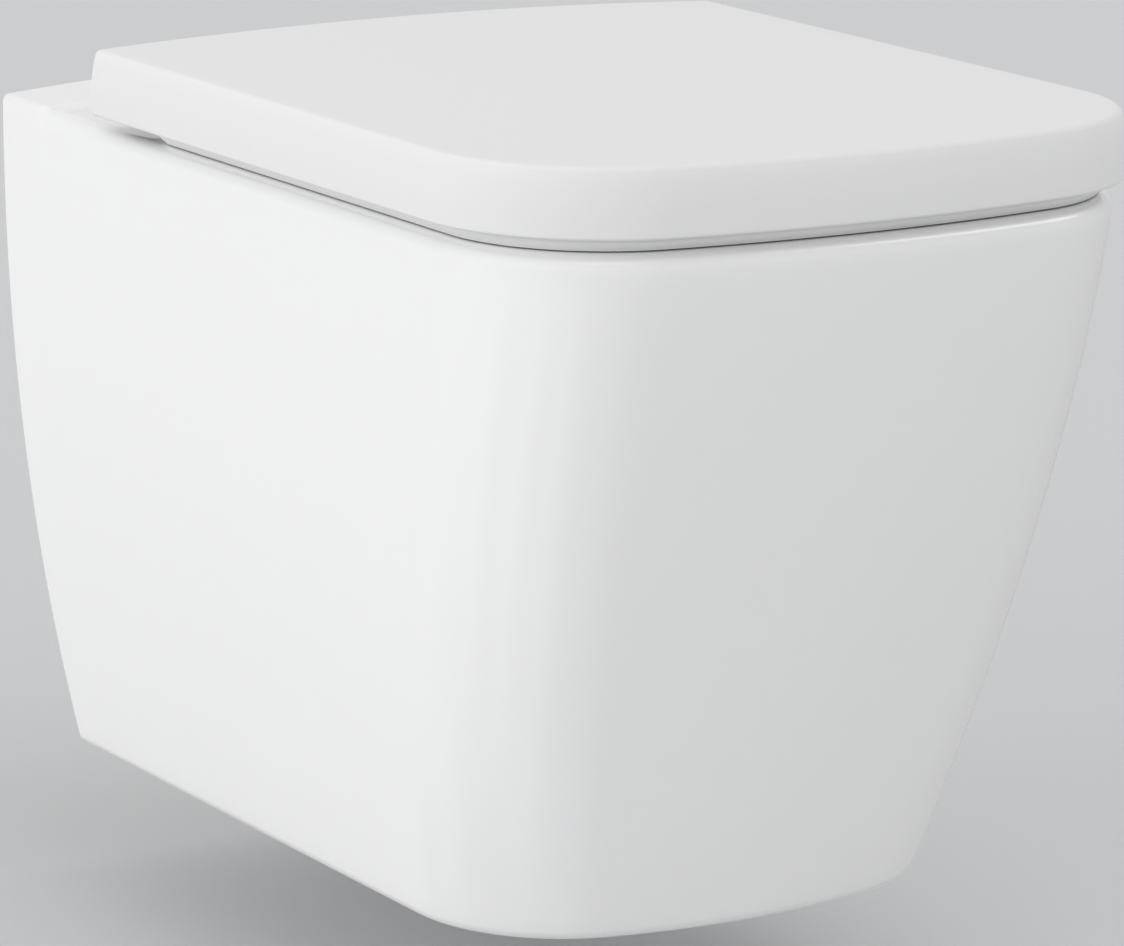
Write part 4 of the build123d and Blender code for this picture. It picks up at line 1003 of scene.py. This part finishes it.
def seat_screw_piece(pan, hinges, sizes):
    """Two screws that hold the hinge bases: threaded shank, head and socket."""
    rim_z = pan.deck_z - pan.rim_drop
    seat_z = rim_z + sizes.screw_seat
    end_z = rim_z - sizes.plug_length - (sizes.nut_height - sizes.cone_height) - 2 * MM
    top_z = seat_z + sizes.head_height
    edge = sizes.head_height / 8
    screws = []
    for _, side in HINGE_SIDES:
        x, y = side * hinges.spacing / 2, -hinges.fixing_y
        shank = threaded((x, y, end_z), (x, y, seat_z + MM), sizes.screw_r, sizes.screw_pitch)
        head = turned([(x, y, z) for z in (seat_z, seat_z + edge, top_z - edge, top_z)],
                      (sizes.head_r - edge, sizes.head_r, sizes.head_r, sizes.head_r - edge))
        socket = bar((x, y, seat_z + sizes.head_height / 2), (x, y, top_z + MM), sizes.socket_r, sides=6)
        screws.append(carve(shank, [("UNION", head), ("DIFFERENCE", socket)]))
    return joined(screws)


def plug_piece(pan, hinges, sizes):
    """Two ribbed rubber plugs in the deck, spread by the cones of their nuts."""
    rim_z = pan.deck_z - pan.rim_drop
    low_z = rim_z - sizes.plug_length
    radius = sizes.hole_r - sizes.plug_clearance
    heights = np.linspace(low_z, rim_z, 69)
    radii = [radius - sizes.rib_depth * (step % 6 in (3, 4)) for step in range(len(heights))]
    plugs = []
    for _, side in HINGE_SIDES:
        x, y = side * hinges.spacing / 2, -hinges.fixing_y
        plug = turned([(x, y, z) for z in heights], radii, 48)
        cone = bar((x, y, low_z), (x, y, low_z + sizes.cone_height), sizes.cone_r, sizes.cone_tip_r)
        bore = bar((x, y, low_z - MM), (x, y, rim_z + MM), sizes.screw_r + 0.1 * MM)
        plugs.append(carve(plug, [("DIFFERENCE", cone), ("DIFFERENCE", bore)]))
    return joined(plugs)


def dress_nodes(slots):
    """Gives the nodes that stay as they are their finish, and soft edges to their shading."""
    for node, slot in slots.items():
        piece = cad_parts[node]
        piece.data.materials.clear()
        piece.data.materials.append(finish_of(slot))
        weld = piece.modifiers.new("weld", "WELD")
        weld.merge_threshold = 0.002 * MM
        split = piece.modifiers.new("split", "EDGE_SPLIT")
        split.split_angle = SMOOTH_ANGLE
        piece.modifiers.new("shading", "WEIGHTED_NORMAL")


class BuildPan(bpy.types.Operator):
    """Builds the glazed pan with its bowl, trap and back"""
    bl_idname = "toilet.build_pan"
    bl_label = "Pan"

    def execute(self, context):
        scene = context.scene
        piece = pan_piece(scene.toilet_pan, scene.toilet_hinges)
        nodes = [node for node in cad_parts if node.startswith("ceramic_")]
        settle(piece, "pan", "ceramic", "pan", *nodes)
        return {"FINISHED"}


class BuildLid(bpy.types.Operator):
    """Builds the crowned lid"""
    bl_idname = "toilet.build_lid"
    bl_label = "Lid"

    def execute(self, context):
        scene = context.scene
        piece = lid_piece(scene.toilet_lid, scene.toilet_hinges)
        settle(piece, "lid_shell", "seat_plastic", "lid", "lid")
        return {"FINISHED"}


class BuildSeat(bpy.types.Operator):
    """Builds the ring seat"""
    bl_idname = "toilet.build_seat"
    bl_label = "Seat"

    def execute(self, context):
        scene = context.scene
        piece = seat_piece(scene.toilet_lid, scene.toilet_seat, scene.toilet_hinges)
        settle(piece, "seat_shell", "seat_plastic", "seat", "seat_ring")
        return {"FINISHED"}


class BuildHinges(bpy.types.Operator):
    """Dresses the hinge posts, their clips and buttons, the shafts, dampers and bushes"""
    bl_idname = "toilet.build_hinges"
    bl_label = "Hinges"

    def execute(self, context):
        slots = {}
        for name, _ in HINGE_SIDES:
            slots[f"hinge_base_{name}"] = "stainless"
            slots[f"hinge_post_{name}"] = "stainless"
            slots[f"retaining_clip_{name}"] = "stainless"
            slots[f"release_button_{name}"] = "button_plastic"
        for node in ("seat_damper_shaft", "seat_pivot_pin", "lid_damper_shaft", "lid_pivot_pin"):
            slots[node] = "shaft_steel"
        for node in ("seat_damper_housing", "lid_damper_housing"):
            slots[node] = "damper_plastic"
        for node in ("seat_pivot_bush", "lid_pivot_bush"):
            slots[node] = "bearing_plastic"
        dress_nodes(slots)
        return {"FINISHED"}


class BuildFixings(bpy.types.Operator):
    """Builds the threaded screws and the plugs of the seat and of the wall fixing, and dresses the rest"""
    bl_idname = "toilet.build_fixings"
    bl_label = "Fixings"

    def execute(self, context):
        scene = context.scene
        sizes = (scene.toilet_pan, scene.toilet_hinges, scene.toilet_fixings)
        settle(clamp_screw_piece(*sizes), "clamp_screw_pair", "zinc_steel", "pan", "clamp_screws")
        settle(seat_screw_piece(*sizes), "seat_screw_pair", "stainless", "pan", "hinge_screws")
        settle(plug_piece(*sizes), "plug_pair", "plug_rubber", "pan", "expansion_plugs")
        dress_nodes({
            "wall_bushes": "fixing_plastic",
            "clamp_block_right": "zinc_steel",
            "clamp_block_left": "zinc_steel",
            "clamp_pads": "fixing_plastic",
            "plug_nuts": "zinc_steel",
        })
        return {"FINISHED"}


class BuildBuffers(bpy.types.Operator):
    """Dresses the rubber buffers of the seat and the lid"""
    bl_idname = "toilet.build_buffers"
    bl_label = "Buffers"

    def execute(self, context):
        dress_nodes({"seat_buffers": "buffer_rubber", "lid_buffers": "buffer_rubber"})
        return {"FINISHED"}


SoftBox = namedtuple("SoftBox", "azimuth elevation half_angle light mirrored")
SOFT_BOXES = (
    SoftBox(-90, 0, 34, 1.26, 0.1),
    SoftBox(-125, 0, 34, 0.62, 0.0),
    SoftBox(-60, 10, 34, 0.42, 0.11),
    SoftBox(20, 60, 30, 0.45, 0.0),
    SoftBox(60, 25, 34, 0.28, 0.0),
    SoftBox(150, 45, 34, 0.27, 0.0),
    SoftBox(-95, -35, 26, 0.20, 0.0),
    SoftBox(-90, 50, 30, 0.0, 0.09),
    SoftBox(-32, 70, 26, 0.0, 1.0),
    SoftBox(75, 48, 20, 0.0, 2.6),
    SoftBox(-153, -18, 18, 0.0, 0.27),
    SoftBox(-115, -25, 18, 0.0, 0.41),
    SoftBox(-85, -32, 16, 0.0, 0.42),
    SoftBox(-60, -40, 16, 0.0, 0.56),
    SoftBox(-30, -45, 18, 0.0, 0.25),
    SoftBox(148, 13, 22, 0.0, 0.21),
)


def direction(azimuth, elevation):
    """Unit vector from degrees: azimuth 0 is in front of the object and 90 on its right."""
    turn, rise = radians(azimuth), radians(elevation)
    return Vector((sin(turn) * cos(rise), -cos(turn) * cos(rise), sin(rise)))


def studio_world(boxes, even, even_mirrored, background):
    """World of soft boxes: each has one strength as a light and one as it is mirrored."""
    world = bpy.data.worlds.new("studio")
    tree = Tree(world)
    towards = tree.node("TexCoord", output="Generated")
    path = tree.node("LightPath", output="Is Camera Ray").socket.node
    rays = {name: Value(tree, path.outputs[f"Is {name} Ray"]) for name in ("Camera", "Transmission", "Glossy")}
    strength = mix(even, even_mirrored, rays["Glossy"])
    for box in boxes:
        axis = direction(box.azimuth, box.elevation)
        facing = tree.node("VectorMath", {"operation": "DOT_PRODUCT"}, {0: towards, 1: axis}, "Value")
        inside = tree.node("MapRange", {"interpolation_type": "SMOOTHSTEP"}, {
            "Value": facing,
            "From Min": cos(radians(box.half_angle * 1.3)),
            "From Max": cos(radians(box.half_angle * 0.7)),
        })
        strength = strength + inside * mix(box.light, box.mirrored, rays["Glossy"])
    seen = tree.node("Math", {"operation": "MAXIMUM"}, {0: rays["Camera"], 1: rays["Transmission"]})
    plain = tree.node("Background", inputs={"Color": (1, 1, 1, 1), "Strength": strength})
    backdrop = tree.node("Background", inputs={"Color": tuple(background) + (1.0,)})
    tree.node("OutputWorld", inputs={"Surface": tree.node("MixShader", inputs={0: seen, 1: plain, 2: backdrop})})
    return world


class BuildStage(bpy.types.Operator):
    """Builds the floor, the studio light and the camera"""
    bl_idname = "toilet.build_stage"
    bl_label = "Stage"

    def execute(self, context):
        scene = context.scene
        stage = scene.toilet_stage
        pan = scene.toilet_pan
        floor_z = pan.deck_z - pan.height - stage.floor_gap
        form = Form()
        form.faces.append(tuple(form.loop([(x, y, floor_z) for x, y in arc((0, -0.27), 14.0, 0, 2 * pi, 97)[:-1]])))
        floor = form.mesh_object("floor")
        floor.data.materials.append(material("studio_floor", stage.floor, 0.6, 0.05 * MM, 300.0, tint=0.01))

        floor.visible_glossy = False
        scene.world = studio_world(SOFT_BOXES, stage.even, stage.even_mirrored, stage.background)

        camera = bpy.data.objects.new("camera", bpy.data.cameras.new("camera"))
        scene.collection.objects.link(camera)
        scene.camera = camera
        azimuth, elevation = stage.azimuth, stage.elevation
        back = Vector((sin(azimuth) * cos(elevation), -cos(azimuth) * cos(elevation), sin(elevation)))
        level = back.to_track_quat("Z", "Y")
        camera.rotation_mode = "QUATERNION"
        camera.rotation_quaternion = level @ Matrix.Rotation(stage.roll, 3, "Z").to_quaternion()
        camera.location = Vector((0.0008, -0.2614, -0.0892)) + back * stage.distance
        camera.data.lens = stage.lens
        camera.data.sensor_width = 36.0
        camera.data.clip_end = 100.0
        scene.view_settings.view_transform = "Standard"
        return {"FINISHED"}


class ToiletPanel(bpy.types.Panel):
    """Lists what the toilet is built of"""
    bl_idname = "VIEW3D_PT_toilet"
    bl_label = "Wall hung toilet"
    bl_space_type = "VIEW_3D"
    bl_region_type = "UI"
    bl_category = "Toilet"

    def draw(self, context):
        for operator in OPERATORS:
            self.layout.operator(operator.bl_idname)
        for name in GROUPS:
            group = getattr(context.scene, name)
            column = self.layout.column()
            for field in group.bl_rna.properties:
                if field.identifier not in ("rna_type", "name"):
                    column.prop(group, field.identifier)


OPERATORS = (BuildPan, BuildLid, BuildSeat, BuildHinges, BuildFixings, BuildBuffers, BuildStage)
GROUPS = {
    "toilet_pan": PanSizes,
    "toilet_lid": LidSizes,
    "toilet_seat": SeatSizes,
    "toilet_hinges": HingeSizes,
    "toilet_fixings": FixingSizes,
    "toilet_finishes": Finishes,
    "toilet_stage": StageSettings,
}


def register():
    for group in GROUPS.values():
        bpy.utils.register_class(group)
    for name, group in GROUPS.items():
        setattr(bpy.types.Scene, name, PointerProperty(type=group))
    for operator in OPERATORS + (ToiletPanel,):
        bpy.utils.register_class(operator)


def unregister():
    for operator in reversed(OPERATORS + (ToiletPanel,)):
        bpy.utils.unregister_class(operator)
    for name, group in GROUPS.items():
        delattr(bpy.types.Scene, name)
        bpy.utils.unregister_class(group)


def main():
    register()
    bpy.ops.toilet.build_pan()
    bpy.ops.toilet.build_lid()
    bpy.ops.toilet.build_seat()
    bpy.ops.toilet.build_hinges()
    bpy.ops.toilet.build_fixings()
    bpy.ops.toilet.build_buffers()
    bpy.ops.toilet.build_stage()


if __name__ == "__main__":
    main()
